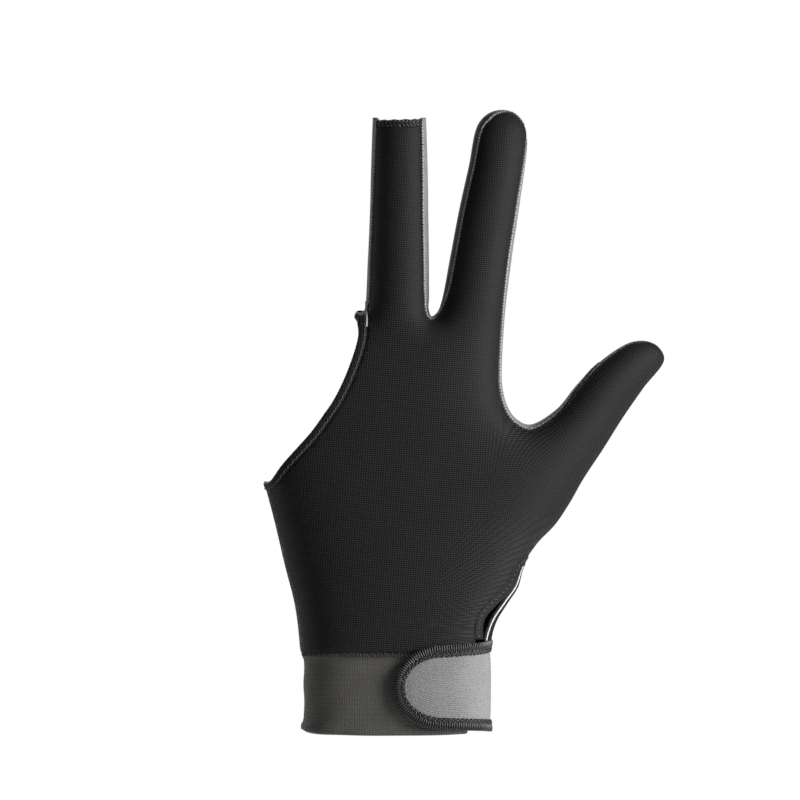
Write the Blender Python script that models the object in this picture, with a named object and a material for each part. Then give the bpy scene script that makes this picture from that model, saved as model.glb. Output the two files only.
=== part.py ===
"""Three-finger billiard glove for a left hand, in its worn form, fingers up, back towards -Y."""
import math

import bmesh
import bpy
import numpy as np
from mathutils.bvhtree import BVHTree
from mathutils.geometry import delaunay_2d_cdt

# ---- Driving sizes, in metres ----
WRIST_WIDTH = 0.0608          # across the wrist, seen from the back
GLOVE_HEIGHT = 0.199          # wrist edge to the tip of the index finger
PALM_HALF_DEPTH = 0.0130      # half the thickness of the palm
SIDE_RADIUS = 0.0120          # roundness of the sides of the hand
CLOTH = 0.0010                # thickness of the knit
GAP = 0.00035                 # space kept between neighbouring pieces
HEM = 0.0025                  # width of the turned hems
TIP_HEM = 0.0021              # width of the hem at the open fingertip
HEM_RISE = 0.0003             # how far a hem stands above the knit
FINGER_CURL = 0.0080          # fingertips bent towards the palm
PALM_ARCH = 0.0026            # sides of the hand bent towards the palm, at 40 mm from the middle
KNUCKLE_HEIGHT = 0.125        # where the fingers start to bend
BAND_SAG = 0.0019             # the band hangs lower at the middle of the back
BAND_DEPTH = 0.0013           # the band lies this far inside the knit
BAND_THICK = 0.0015
SEAM_HEIGHT = 0.0259          # where the knit ends above the band
BAND_HEIGHT = SEAM_HEIGHT - GAP
STRAP_THICK = 0.0012
STRAP_LENGTH = 0.0750
STRAP_MIDDLE = 0.0142         # height of the middle of the strap
TAB_HALF_HEIGHT = 0.0132      # rounded tab, half its height
TAB_LENGTH = 0.0152           # rounded part of the tab
STRAP_FLARE = 0.0018          # the strap widens towards the thumb side
EDGING = 0.0036               # width of the overlocked edging
PAD_THICK = 0.0006
MESH_STEP = 0.0056            # spacing of the facets
RIM_STEP = 0.0050             # their spacing along the outline
NOMINAL_SIDE = 0.0090         # side radius that the strip widths are worked out with
STRIP_FADE = 0.0015           # the panel seams close over this length past a strip's end

# Outline of the hand form, clockwise from the wrist on the little-finger side. The positions are
# shares of the wrist width and of the glove height. The edge from each landmark to the next bows
# to its outer side at three places: at its middle and at the spread on both sides of the middle.
# columns: across, up, spread, bow_before, bow_middle, bow_after (bows as shares of the chord)
LANDMARKS = {
    "wrist_low_left": (-0.500, -0.076, 0.25, 0.000, 0.000, 0.000),
    "wrist_seam_left": (-0.502, 0.130, 0.25, -0.025, -0.017, -0.012),
    "little_corner": (-0.695, 0.404, 0.25, 0.023, 0.039, 0.033),
    "little_end": (-0.747, 0.492, 0.25, 0.047, 0.045, 0.027),
    "ring_end": (-0.279, 0.725, 0.25, 0.060, 0.087, 0.066),
    "ring_web": (-0.207, 0.679, 0.33, -0.318, -0.467, -0.333),
    "middle_root_outer": (-0.157, 0.679, 0.25, -0.005, -0.006, -0.002),
    "middle_tip_outer": (-0.116, 0.984, 0.25, 0.000, 0.000, 0.000),
    "middle_end_outer": (-0.108, 1.039, 0.25, 0.000, 0.000, 0.000),
    "middle_end_inner": (0.153, 1.039, 0.25, 0.000, 0.000, 0.000),
    "middle_tip_inner": (0.162, 0.984, 0.25, 0.004, 0.004, 0.003),
    "middle_root_inner": (0.177, 0.695, 0.37, -0.680, -1.260, -0.850),
    "index_root_inner": (0.246, 0.690, 0.25, 0.003, 0.008, 0.005),
    "index_tip_inner": (0.443, 0.978, 0.33, 0.317, 0.448, 0.301),
    "index_tip_outer": (0.695, 0.946, 0.25, -0.003, -0.012, -0.014),
    "index_root_outer": (0.560, 0.575, 0.26, -0.109, -0.173, -0.162),
    "thumb_web": (0.705, 0.492, 0.25, -0.051, -0.008, 0.020),
    "thumb_tip_upper": (1.195, 0.619, 0.28, 0.178, 0.274, 0.233),
    "thumb_tip_lower": (1.422, 0.598, 0.25, -0.008, -0.011, -0.003),
    "thumb_root": (0.992, 0.404, 0.25, 0.023, 0.027, -0.011),
    "slit_top": (0.672, 0.264, 0.25, 0.032, -0.007, -0.038),
    "wrist_seam_right": (0.499, 0.145, 0.25, 0.000, 0.000, 0.000),
    "wrist_low_right": (0.495, -0.076, 0.25, 0.000, 0.000, 0.000),
}

# Half depth of the hand form up the glove. columns: up, depth (shares)
DEPTHS = ((-0.08, 1.46), (0.13, 1.42), (0.35, 1.17), (0.60, 1.00), (1.04, 0.95))

# Finger side strips. Each runs along the outline from one landmark to another, some share of an
# edge past it. The rows are the share along the strip and the seam's distance in from the outline,
# as a share of STRIP_INSET.
STRIP_INSET = 0.0016
STRIPS = {
    "fourchette_middle_outer": {
        "start": ("middle_root_outer", 0.033), "end": ("middle_tip_outer", 0.0),
        "insets": ((0.0, 0.58), (0.25, 0.50), (0.5, 0.44), (0.75, 0.62), (1.0, 0.76)),
    },
    "fourchette_middle_index": {
        "start": ("middle_tip_inner", 0.0), "end": ("index_tip_inner", 0.70),
        "insets": ((0.0, 0.84), (0.2, 1.08), (0.38, 0.95), (0.45, 0.40), (0.53, 1.0),
                   (0.75, 1.0), (0.91, 1.12), (0.97, 0.45), (1.0, 0.09)),
    },
    "fourchette_index_thumb": {
        "start": ("index_tip_outer", 0.0), "end": ("thumb_web", 0.74),
        "insets": ((0.0, 0.10), (0.04, 0.30), (0.14, 0.52), (0.32, 0.68), (0.45, 0.46),
                   (0.6, 0.42), (0.71, 0.62), (0.76, 0.80), (0.86, 0.52), (1.0, 0.10)),
    },
}

# Edge of the opening for the ring and little fingers, from the web to the little-finger side.
# columns: across, up (shares)
OPENING_EDGE = (
    (-0.2070, 0.6710), (-0.2000, 0.6660), (-0.1940, 0.6560), (-0.1895, 0.6450),
    (-0.1921, 0.6340), (-0.2053, 0.6160), (-0.2316, 0.5918), (-0.2663, 0.5651),
    (-0.3184, 0.5331), (-0.3711, 0.5091), (-0.4405, 0.4798), (-0.5105, 0.4559),
    (-0.5979, 0.4264), (-0.6640, 0.4000), (-0.6905, 0.3990),
)

# Edge of the back panel along the wrist slit, from its top. columns: across, up (shares)
SLIT_EDGE = (
    (0.6760, 0.2640), (0.6600, 0.2537), (0.6142, 0.2279), (0.5784, 0.2160),
    (0.5326, 0.2029), (0.4753, 0.1827), (0.4632, 0.1704), (0.4630, 0.1480),
)
# Width of the binding on the other side of the slit, seen from the back.
# columns: share down the slit, inset (share of STRIP_INSET)
BINDING_INSETS = ((0.0, 0.06), (0.3, 0.34), (0.6, 0.56), (1.0, 1.0))

BLACK_KNIT = ((0.020, 0.020, 0.022, 1.0), 0.80)
BLACK_HEM = ((0.016, 0.016, 0.018, 1.0), 0.85)
GREY_MESH = ((0.165, 0.160, 0.150, 1.0), 0.90)
BAND_GREY = ((0.120, 0.116, 0.108, 1.0), 0.92)
STRAP_GREY = ((0.150, 0.147, 0.140, 1.0), 0.90)
EDGE_BLACK = ((0.012, 0.012, 0.013, 1.0), 0.70)
PIPING = ((0.450, 0.445, 0.430, 1.0), 0.75)
HOOK_BLACK = ((0.030, 0.030, 0.032, 1.0), 0.60)


def plan_point(across, up):
    """Place a point given in shares on the plan, x across and z up."""
    return np.array([across * WRIST_WIDTH, up * GLOVE_HEIGHT])


def inside(points, polygon):
    """Tell which points lie inside a closed polygon."""
    x, z = points[:, 0][:, None], points[:, 1][:, None]
    ax, az = polygon[:, 0][None], polygon[:, 1][None]
    bx, bz = np.roll(polygon[:, 0], -1)[None], np.roll(polygon[:, 1], -1)[None]
    spans = (az > z) != (bz > z)
    with np.errstate(divide="ignore", invalid="ignore"):
        cross_x = ax + (z - az) * (bx - ax) / (bz - az)
    return (np.sum(spans & (x < cross_x), axis=1) % 2) == 1


def distance_to(points, path, closed=False):
    """Shortest distance from each point to a polyline."""
    a = path if closed else path[:-1]
    b = np.roll(path, -1, axis=0) if closed else path[1:]
    run = b - a
    size = np.maximum(np.sum(run * run, axis=1), 1e-18)
    rel = points[:, None, :] - a[None]
    share = np.clip(np.sum(rel * run[None], axis=2) / size[None], 0.0, 1.0)
    near = rel - share[..., None] * run[None]
    return np.sqrt(np.min(np.sum(near * near, axis=2), axis=1))


def arc_lengths(path):
    """Running length along a polyline."""
    return np.concatenate([[0.0], np.cumsum(np.linalg.norm(np.diff(path, axis=0), axis=1))])


def along(path, places):
    """Points of a polyline at given running lengths."""
    lengths = arc_lengths(path)
    return np.stack([np.interp(places, lengths, path[:, k]) for k in range(path.shape[1])], axis=1)


def offset_path(path, distance):
    """Shift a polyline sideways, to the right of its run; distance may vary along it."""
    run = np.gradient(path, axis=0)
    run /= np.linalg.norm(run, axis=1)[:, None]
    right = np.stack([run[:, 1], -run[:, 0]], axis=1)
    return path + right * np.broadcast_to(distance, len(path))[:, None]


def rounded_path(rows, spacing=0.0006):
    """Smooth open curve through table rows."""
    knots = np.array([plan_point(*row) for row in rows])
    padded = np.vstack([2 * knots[0] - knots[1], knots, 2 * knots[-1] - knots[-2]])
    return catmull(padded, spacing)[0]


def catmull(knots, spacing):
    """Centripetal curve through knots[1:-1]; also returns the index of each knot."""
    points, marks = [], []
    for i in range(1, len(knots) - 2):
        p0, p1, p2, p3 = knots[i - 1:i + 3]
        t1 = math.sqrt(max(np.linalg.norm(p1 - p0), 1e-9))
        t2 = t1 + math.sqrt(max(np.linalg.norm(p2 - p1), 1e-9))
        t3 = t2 + math.sqrt(max(np.linalg.norm(p3 - p2), 1e-9))
        count = max(8, math.ceil(np.linalg.norm(p2 - p1) / spacing))
        t = (t1 + (t2 - t1) * np.arange(count) / count)[:, None]
        a1 = p0 * (t1 - t) / t1 + p1 * t / t1
        a2 = p1 * (t2 - t) / (t2 - t1) + p2 * (t - t1) / (t2 - t1)
        a3 = p2 * (t3 - t) / (t3 - t2) + p3 * (t - t2) / (t3 - t2)
        b1 = a1 * (t2 - t) / t2 + a2 * t / t2
        b2 = a2 * (t3 - t) / (t3 - t1) + a3 * (t - t1) / (t3 - t1)
        marks.append(len(points))
        points.extend(b1 * (t2 - t) / (t2 - t1) + b2 * (t - t1) / (t2 - t1))
    marks.append(len(points))
    points.append(knots[-2])
    return np.array(points), marks


class Outline:
    """Closed outline of the hand form, seen from the back and run clockwise."""

    def __init__(self):
        names = list(LANDMARKS)
        knots = []
        for i, name in enumerate(names):
            across, up, spread, *bows = LANDMARKS[name]
            nxt = LANDMARKS[names[(i + 1) % len(names)]]
            start, end = plan_point(across, up), plan_point(nxt[0], nxt[1])
            chord = end - start
            outer = np.array([-chord[1], chord[0]])
            knots.append(start)
            for share, bow in zip((0.5 - spread, 0.5, 0.5 + spread), bows):
                knots.append(start + chord * share + outer * bow)
        padded = np.array([knots[-1]] + knots + [knots[0], knots[1]])
        self.points, marks = catmull(padded, 0.0005)
        self.lengths = arc_lengths(self.points)
        self.total = self.lengths[-1]
        self.marks = {name: self.lengths[marks[4 * i]] for i, name in enumerate(names)}
        self.polygon = self.points[:-1]

    def point(self, place):
        """Point at an arc position."""
        place = np.mod(place, self.total)
        return np.stack([np.interp(place, self.lengths, self.points[:, k]) for k in (0, 1)], axis=-1)

    def inward(self, place):
        """Direction into the form at an arc position."""
        run = self.point(np.asarray(place) + 0.0008) - self.point(np.asarray(place) - 0.0008)
        run = run / np.linalg.norm(run, axis=-1)[..., None]
        return np.stack([run[..., 1], -run[..., 0]], axis=-1)

    def place(self, name, share=0.0):
        """Arc position some share of an edge past a landmark."""
        names = list(self.marks)
        nxt = self.marks[names[(names.index(name) + 1) % len(names)]]
        start = self.marks[name]
        return start + share * ((nxt - start) % self.total)

    def strip_span(self, strip):
        """Start and end arc positions of a finger side strip."""
        return self.place(*STRIPS[strip]["start"]), self.place(*STRIPS[strip]["end"])

    def seam_inset(self, place):
        """Distance of the panel seam in from the outline; zero where the panels meet."""
        place = np.mod(place, self.total)
        inset = np.zeros_like(place)
        for strip, data in STRIPS.items():
            start, end = self.strip_span(strip)
            rows = np.array(data["insets"])
            fade = STRIP_FADE / (end - start)
            shares = np.concatenate([[-fade], rows[:, 0], [1 + fade]])
            depths = np.concatenate([[0.0], rows[:, 1] * STRIP_INSET, [0.0]])
            here = (place - start) / (end - start)
            inset = np.maximum(inset, np.interp(here, shares, depths, left=0.0, right=0.0))
        return inset

    def sides_at(self, height):
        """Left and right x of the form at a height near the wrist."""
        found = []
        for low, high in (("wrist_low_left", "wrist_seam_left"),
                          ("wrist_seam_right", "wrist_low_right")):
            places = np.linspace(self.marks[low] - 0.004, self.marks[high] + 0.004, 200)
            pts = self.point(places)
            keep = (pts[:, 1] > -0.0149) & (pts[:, 1] < 0.034)
            order = np.argsort(pts[keep][:, 1])
            found.append(np.interp(height, pts[keep][order, 1], pts[keep][order, 0]))
        return found


class Skin:
    """Rounded surface of the worn glove, lifted from its outline."""

    def __init__(self, outline):
        self.outline = outline
        root = 2 * SIDE_RADIUS / PALM_HALF_DEPTH ** 2
        rim = outline.polygon
        inner = []
        for depth, spacing in ((0.0010, 0.0018), (0.0025, 0.0027), (0.0045, 0.0034)):
            places = np.arange(0.0, outline.total, spacing)
            row = outline.point(places) + outline.inward(places) * depth
            inner.append(row[distance_to(row, rim, True) > 0.93 * depth])
        low, high = outline.polygon.min(axis=0), outline.polygon.max(axis=0)
        step = 0.0036
        columns = np.arange(low[0], high[0], step)
        rows = np.arange(low[1], high[1], step * 0.866)
        grid = np.array([(x + (j % 2) * step / 2, z) for j, z in enumerate(rows) for x in columns])
        grid = grid[inside(grid, outline.polygon)]
        grid = grid[distance_to(grid, outline.polygon, True) > 0.0062]
        cloud = np.vstack([rim] + [row[inside(row, outline.polygon)] for row in inner] + [grid])
        ring = [(i, (i + 1) % len(rim)) for i in range(len(rim))]
        verts, _, tris, _, _, _ = delaunay_2d_cdt([tuple(p) for p in cloud], ring, [], 0, 1e-7)
        self.nodes = np.array([tuple(v) for v in verts])
        tris = np.array([t for t in tris if len(t) == 3])
        middle = self.nodes[tris].mean(axis=1)
        self.tris = tris[inside(middle, rim)]
        self._solve(root)
        flat = [(x, z, 0.0) for x, z in self.nodes]
        self.tree = BVHTree.FromPolygons(flat, [tuple(int(i) for i in t) for t in self.tris])

    def _solve(self, root):
        """Solve for the squared half depth, zero along the rim and level inside."""
        p = self.nodes[self.tris]
        edge1, edge2 = p[:, 1] - p[:, 0], p[:, 2] - p[:, 0]
        area = 0.5 * (edge1[:, 0] * edge2[:, 1] - edge1[:, 1] * edge2[:, 0])
        opposite = np.stack([p[:, 2] - p[:, 1], p[:, 0] - p[:, 2], p[:, 1] - p[:, 0]], axis=1)
        slopes = np.stack([-opposite[..., 1], opposite[..., 0]], axis=2) / (2 * area)[:, None, None]
        count = len(self.nodes)
        matrix = np.zeros((count, count))
        mass = np.zeros(count)
        for i in range(3):
            np.add.at(mass, self.tris[:, i], area / 3)
            for j in range(3):
                value = area * np.sum(slopes[:, i] * slopes[:, j], axis=1)
                np.add.at(matrix, (self.tris[:, i], self.tris[:, j]), value)
        level = root ** 2
        matrix[np.arange(count), np.arange(count)] += level * mass
        uses = {}
        for tri in self.tris:
            for a, b in ((tri[0], tri[1]), (tri[1], tri[2]), (tri[2], tri[0])):
                key = (min(a, b), max(a, b))
                uses[key] = uses.get(key, 0) + 1
        rim = sorted({v for key, number in uses.items() if number == 1 for v in key})
        free = np.setdiff1d(np.unique(self.tris), rim)
        load = level * PALM_HALF_DEPTH ** 2 * mass
        squared = np.zeros(count)
        squared[free] = np.linalg.solve(matrix[np.ix_(free, free)], load[free])
        ups, shares = np.array(DEPTHS).T
        spread = np.linspace(-0.06, 0.06, 9)[None, :]
        depth = np.interp(self.nodes[:, 1:] / GLOVE_HEIGHT + spread, ups, shares).mean(axis=1)
        self.squared = squared * depth ** 2
        slope = np.einsum("tij,ti->tj", slopes, self.squared[self.tris])
        self.slopes = np.zeros((count, 2))
        weight = np.zeros(count)
        for i in range(3):
            np.add.at(self.slopes, self.tris[:, i], slope * area[:, None])
            np.add.at(weight, self.tris[:, i], area)
        self.slopes /= np.maximum(weight, 1e-18)[:, None]

    @staticmethod
    def centre(plan):
        """Depth of the middle surface: arched across, fingers curled to the palm."""
        x, z = plan[..., 0], plan[..., 1]
        ramp = np.clip((z - 0.010) / 0.055, 0.0, 1.0)
        ramp = ramp * ramp * (3 - 2 * ramp)
        curl = np.clip((z - KNUCKLE_HEIGHT) / (GLOVE_HEIGHT - KNUCKLE_HEIGHT), 0.0, 1.2)
        return PALM_ARCH * (x / 0.040) ** 2 * ramp + FINGER_CURL * curl ** 2

    def lift(self, plan, side):
        """Points and outward directions on the skin; side is -1 on the back, 1 on the palm."""
        plan = np.asarray(plan, dtype=float).reshape(-1, 2)
        side = np.broadcast_to(side, len(plan)).astype(float)
        squared, slope, spots = np.zeros(len(plan)), np.zeros((len(plan), 2)), plan.copy()
        for i, (x, z) in enumerate(plan):
            spot, _, face, _ = self.tree.find_nearest((x, z, 0.0))
            a, b, c = self.tris[face]
            pa, pb, pc = self.nodes[a], self.nodes[b], self.nodes[c]
            here = np.array([spot[0], spot[1]])
            whole = (pb[0] - pa[0]) * (pc[1] - pa[1]) - (pb[1] - pa[1]) * (pc[0] - pa[0])
            wb = ((here[0] - pa[0]) * (pc[1] - pa[1]) - (here[1] - pa[1]) * (pc[0] - pa[0])) / whole
            wc = ((pb[0] - pa[0]) * (here[1] - pa[1]) - (pb[1] - pa[1]) * (here[0] - pa[0])) / whole
            weights = np.array([1 - wb - wc, wb, wc])
            squared[i] = weights @ self.squared[[a, b, c]]
            slope[i] = weights @ self.slopes[[a, b, c]]
            spots[i] = here
        depth = side * np.maximum(np.sqrt(np.maximum(squared, 0.0)), GAP / 2)
        step = 1e-5
        tilt_x = (self.centre(spots + [step, 0]) - self.centre(spots - [step, 0])) / (2 * step)
        tilt_z = (self.centre(spots + [0, step]) - self.centre(spots - [0, step])) / (2 * step)
        points = np.stack([spots[:, 0], self.centre(spots) + depth, spots[:, 1]], axis=1)
        normal = np.stack([-2 * depth * tilt_x - slope[:, 0], 2 * depth,
                           -2 * depth * tilt_z - slope[:, 1]], axis=1)
        return points, normal / np.linalg.norm(normal, axis=1)[:, None]


def crossings(loop, cut):
    """Places where an open cut crosses a closed loop: (place on the cut, place on the loop)."""
    a, b = cut[:-1], cut[1:]
    c, d = loop, np.roll(loop, -1, axis=0)
    r, s = (b - a)[:, None, :], (d - c)[None, :, :]
    rel = c[None] - a[:, None]
    bottom = r[..., 0] * s[..., 1] - r[..., 1] * s[..., 0]
    with np.errstate(divide="ignore", invalid="ignore"):
        t = (rel[..., 0] * s[..., 1] - rel[..., 1] * s[..., 0]) / bottom
        u = (rel[..., 0] * r[..., 1] - rel[..., 1] * r[..., 0]) / bottom
    hit = (t >= 0) & (t < 1) & (u >= 0) & (u < 1)
    return sorted((i + t[i, j], j + u[i, j]) for i, j in zip(*np.nonzero(hit)))


def splice(loop, places, corners, cut):
    """Replace the run of a loop that a cut takes off, in the loop's own direction."""
    found = crossings(loop, cut)
    (cut_in, loop_in), (cut_out, loop_out) = found[0], found[-1]
    count = len(loop)

    def spot(value):
        i = int(value) % count
        share = value - int(value)
        j = (i + 1) % count
        step = (places[j] - places[i]) if abs(places[j] - places[i]) < 0.01 else 0.0
        return loop[i] * (1 - share) + loop[j] * share, places[i] + share * step

    start, end = int(loop_out) + 1, int(loop_in)
    if end < start:
        end += count
    kept = [k % count for k in range(start, end + 1)]
    first, first_place = spot(loop_out)
    last, last_place = spot(loop_in)
    middle = cut[int(cut_in) + 1:int(cut_out) + 1]
    new_loop = np.vstack([first[None], loop[kept], last[None], middle])
    new_places = np.concatenate([[first_place], places[kept], [last_place],
                                 np.full(len(middle), np.nan)])
    new_corners = np.concatenate([[True], corners[kept], [True], np.zeros(len(middle), bool)])
    return new_loop, new_places, new_corners


def resample(skin, path, side, step):
    """Even stations along a dense plan path, closer where it bends; returns float indices."""
    points, _ = skin.lift(path, side)
    lengths = np.linalg.norm(np.diff(points, axis=0), axis=1)
    run = np.diff(points, axis=0) / np.maximum(lengths, 1e-9)[:, None]
    reach = 3
    bend = np.zeros(len(run))
    for i in range(len(run)):
        a, b = run[max(i - reach, 0)], run[min(i + reach, len(run) - 1)]
        span = lengths[max(i - reach, 0):i + reach + 1].sum()
        bend[i] = math.acos(float(np.clip(a @ b, -1, 1))) / max(span, 1e-9)
    weight = lengths * (1 + 0.0045 * np.minimum(bend, 900.0))
    total = np.concatenate([[0.0], np.cumsum(weight)])
    count = max(1, round(total[-1] / step))
    return np.interp(np.linspace(0, total[-1], count + 1), total, np.arange(len(path)))


def pick(values, index):
    """Read a row list at a float index."""
    low = np.minimum(np.floor(index).astype(int), len(values) - 1)
    high = np.minimum(low + 1, len(values) - 1)
    share = index - low
    if values.ndim == 2:
        share = share[:, None]
    return values[low] * (1 - share) + values[high] * share


class GloveBuilder:
    """Makes each piece of the glove from the shared skin."""

    def __init__(self):
        self.outline = Outline()
        self.skin = Skin(self.outline)
        self._set_stations()
        self._develop_wrist()

    def _set_stations(self):
        """Arc positions shared by the panels and the strips, so that their facets line up."""
        floats = resample(self.skin, self.outline.points, -1.0, RIM_STEP)
        places = pick(self.outline.lengths, floats)[:-1]
        total = self.outline.total
        ends = []
        for strip in STRIPS:
            start, end = self.outline.strip_span(strip)
            ends += [start - STRIP_FADE, start, end, end + STRIP_FADE]
        ends = np.mod(np.array(ends), total)
        gaps = np.abs(places[:, None] - ends[None])
        gaps = np.minimum(gaps, total - gaps).min(axis=1)
        self.stations = np.sort(np.concatenate([places[gaps > 0.0013], ends]))

    def stations_between(self, start, end):
        """Shared arc positions strictly between two arc positions, in running order."""
        total = self.outline.total
        span = (end - start) % total
        ahead = np.sort((self.stations - start) % total)
        return start + ahead[(ahead > 0.0011) & (ahead < span - 0.0011)]

    def _develop_wrist(self):
        """Tabulate the run round the wrist from the middle of the back to the palm."""
        self.turns = np.radians(np.arange(112.0, -200.0, -2.0))
        points = np.array([self.ring_point(turn, STRAP_MIDDLE)[0] for turn in self.turns])
        lengths = arc_lengths(points)
        zero = np.interp(0.0, -self.turns + math.pi / 2, lengths)
        self.runs = lengths - zero
        self.side_run = float(np.interp(0.0, -self.turns, self.runs))

    def ring_point(self, turn, height):
        """Skin point round the wrist; turn is 90 degrees at the back, 0 on the thumb side."""
        left, right = self.outline.sides_at(height)
        x = (left + right) / 2 + (right - left) / 2 * math.cos(turn)
        side = -1.0 if math.sin(turn) >= 0 else 1.0
        points, normals = self.skin.lift([(x, height)], side)
        return points[0], normals[0]

    def wrist_turn(self, run):
        """Turn round the wrist at a run along the strap."""
        return float(np.interp(run, self.runs, self.turns))

    # ---- strap outline ----

    def strap_limits(self, run):
        """Lower and upper edge of the strap at a run from the middle of the back."""
        tab_end = -0.0003
        middle = tab_end + TAB_LENGTH
        if run < middle:
            share = min(1.0, (middle - run) / TAB_LENGTH)
            half = TAB_HALF_HEIGHT * math.sqrt(max(0.0, 1 - share ** 2))
            return STRAP_MIDDLE - half, STRAP_MIDDLE + half
        share = min(1.0, (run - middle) / (self.side_run - middle))
        return (STRAP_MIDDLE - TAB_HALF_HEIGHT - STRAP_FLARE * 0.6 * share,
                STRAP_MIDDLE + TAB_HALF_HEIGHT + STRAP_FLARE * share)

    def strap_base(self, run):
        """Height of the strap's inner face over the skin: the tab lies on the pad."""
        share = min(1.0, max(0.0, (run - 0.022) / 0.014))
        share = share * share * (3 - 2 * share)
        return -0.0001 - 0.00065 * share

    def wrist_seam(self, side):
        """Lower edge of the knit from the thumb side to the little-finger side."""
        rows = []
        for turn in np.radians(np.arange(-4.0, 186.0, 2.0)):
            angle = turn if side < 0 else -turn
            run = float(np.interp(-angle, -self.turns, self.runs))
            height = SEAM_HEIGHT
            end = -0.0003 + STRAP_LENGTH
            if run < end + 0.008:
                clear = self.strap_limits(max(run, 0.0))[1] + 1.4 * GAP
                fade = min(1.0, max(0.0, (end + 0.008 - run) / 0.004))
                height = max(height, height + (clear - height) * fade)
            left, right = self.outline.sides_at(height)
            x = (left + right) / 2 + (right - left) / 2 * 1.012 * math.cos(turn)
            rows.append((x, height))
        rows[0] = (rows[0][0] + 0.003, rows[0][1])
        rows[-1] = (rows[-1][0] - 0.003, rows[-1][1])
        return np.array(rows)

    # ---- cut lines ----

    def opening_path(self, distance):
        """Opening edge shifted into the cloth; wider beside the web."""
        path = rounded_path(OPENING_EDGE)
        share = np.linspace(0.0, 1.0, len(path))
        widen = 1.0 + 0.30 * np.clip(1 - share / 0.16, 0.0, 1.0)
        return offset_path(path, -distance * widen)

    def opening_cut(self):
        """Cut of the panels for the opening, from the little-finger side to the web."""
        path = self.opening_path(HEM + GAP)[::-1]
        start = path[0] + np.array([-0.006, -0.001])
        end = plan_point(-0.178, 0.700)
        return np.vstack([start, path[:-3], end])

    @staticmethod
    def tip_cut(drop):
        """Line across the open fingertip, from the ring side to the index side."""
        left, right = plan_point(-0.150, 0.9815), plan_point(0.190, 0.9838)
        shares = np.linspace(0.0, 1.0, 40)[:, None]
        return left * (1 - shares) + right * shares - np.array([0.0, drop])

    def slit_cut(self):
        """Cut of the back panel along the slit and the wrist."""
        slit = offset_path(rounded_path(SLIT_EDGE), HEM + GAP)
        seam = self.wrist_seam(-1)
        seam = seam[seam[:, 0] < slit[-1, 0] - 0.0008]
        seam_top = seam[0, 1]
        slit = slit[slit[:, 1] > seam_top + 0.0006]
        start = slit[0] + np.array([0.006, 0.0035])
        corner = np.array([slit[-1, 0], seam_top])
        return np.vstack([start, slit, corner, seam])

    # ---- cloth panels ----

    def panel_loop(self, side):
        """Plan boundary of a panel with arc positions and corners."""
        places = np.arange(0.0, self.outline.total, 0.0005)
        inset = self.outline.seam_inset(places)
        loop = self.outline.point(places) + self.outline.inward(places) * inset[:, None]
        corners = np.zeros(len(loop), bool)
        cuts = [self.opening_cut(), self.tip_cut(TIP_HEM + GAP)]
        cuts.append(self.slit_cut() if side < 0 else self.wrist_seam(1))
        for cut in cuts:
            loop, places, corners = splice(loop, places, corners, cut)
        return loop, places, corners

    def panel(self, name, side, finish):
        """Back or palm panel: knit cut at the seams and lifted on the skin."""
        loop, places, corners = self.panel_loop(side)
        first = int(np.argmax(corners))
        loop, places = np.roll(loop, -first, axis=0), np.roll(places, -first)
        corners = np.roll(corners, -first)
        stops = list(np.nonzero(corners)[0]) + [len(loop)]
        ring, ring_places = [], []
        for start, end in zip(stops[:-1], stops[1:]):
            index = np.arange(start, end + 1) % len(loop)
            ring.append(loop[start])
            if np.isnan(places[index]).any():
                floats = resample(self.skin, loop[index], side, MESH_STEP)[1:-1]
                ring.extend(pick(loop[index], floats))
                ring_places.extend([np.nan] * (len(floats) + 1))
                continue
            chosen = self.stations_between(places[index[0]], places[index[-1]])
            inset = self.outline.seam_inset(chosen)
            ring.extend(self.outline.point(chosen) + self.outline.inward(chosen) * inset[:, None])
            ring_places.extend([places[index[0]], *chosen])
        ring, ring_places = np.array(ring), np.array(ring_places)
        on_rim = ~np.isnan(ring_places)
        cut_points = loop[np.isnan(places)]
        extra = []
        core = NOMINAL_SIDE * (1 - math.cos(math.radians(56)))
        for place in ring_places[on_rim]:
            seam = float(self.outline.seam_inset(np.array([place]))[0])
            start = math.acos(1 - seam / NOMINAL_SIDE)
            for share in (0.5, 1.0):
                turn = start + (math.radians(56) - start) * share
                depth = NOMINAL_SIDE * (1 - math.cos(turn))
                if depth > seam + 0.0006:
                    extra.append(self.outline.point(place) + self.outline.inward(place) * depth)
        extra = np.array(extra)
        extra = extra[self._clear_of(extra, cut_points, 0.42 * MESH_STEP)]
        rim_gap = distance_to(extra, self.outline.polygon, True)
        extra = extra[rim_gap > 0.0006]
        low, high = ring.min(axis=0), ring.max(axis=0)
        grid = np.array([(x + (j % 2) * MESH_STEP / 2, z)
                         for j, z in enumerate(np.arange(low[1], high[1], MESH_STEP * 0.866))
                         for x in np.arange(low[0], high[0], MESH_STEP)])
        grid = grid[inside(grid, ring)]
        grid = grid[distance_to(grid, self.outline.polygon, True) > core + 0.45 * MESH_STEP]
        grid = grid[self._clear_of(grid, cut_points, 0.6 * MESH_STEP)]
        cloud = np.vstack([ring, extra[inside(extra, ring)], grid])
        links = [(i, (i + 1) % len(ring)) for i in range(len(ring))]
        verts, _, tris, _, _, _ = delaunay_2d_cdt([tuple(p) for p in cloud], links, [], 0, 1e-7)
        plan = np.array([tuple(v) for v in verts])
        tris = np.array([t for t in tris if len(t) == 3])
        tris = tris[inside(plan[tris].mean(axis=1), ring)]
        used = np.unique(tris)
        lookup = {int(v): i for i, v in enumerate(used)}
        tris = [[lookup[int(v)] for v in tri] for tri in tris]
        points, normals = self.skin.lift(plan[used], side)
        self._make_sheet(name, points, normals, tris, finish)

    @staticmethod
    def _clear_of(points, others, distance):
        """Tell which points keep a distance from a cloud of other points."""
        gaps = np.linalg.norm(points[:, None, :] - others[None], axis=2)
        return gaps.min(axis=1) > distance

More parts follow.
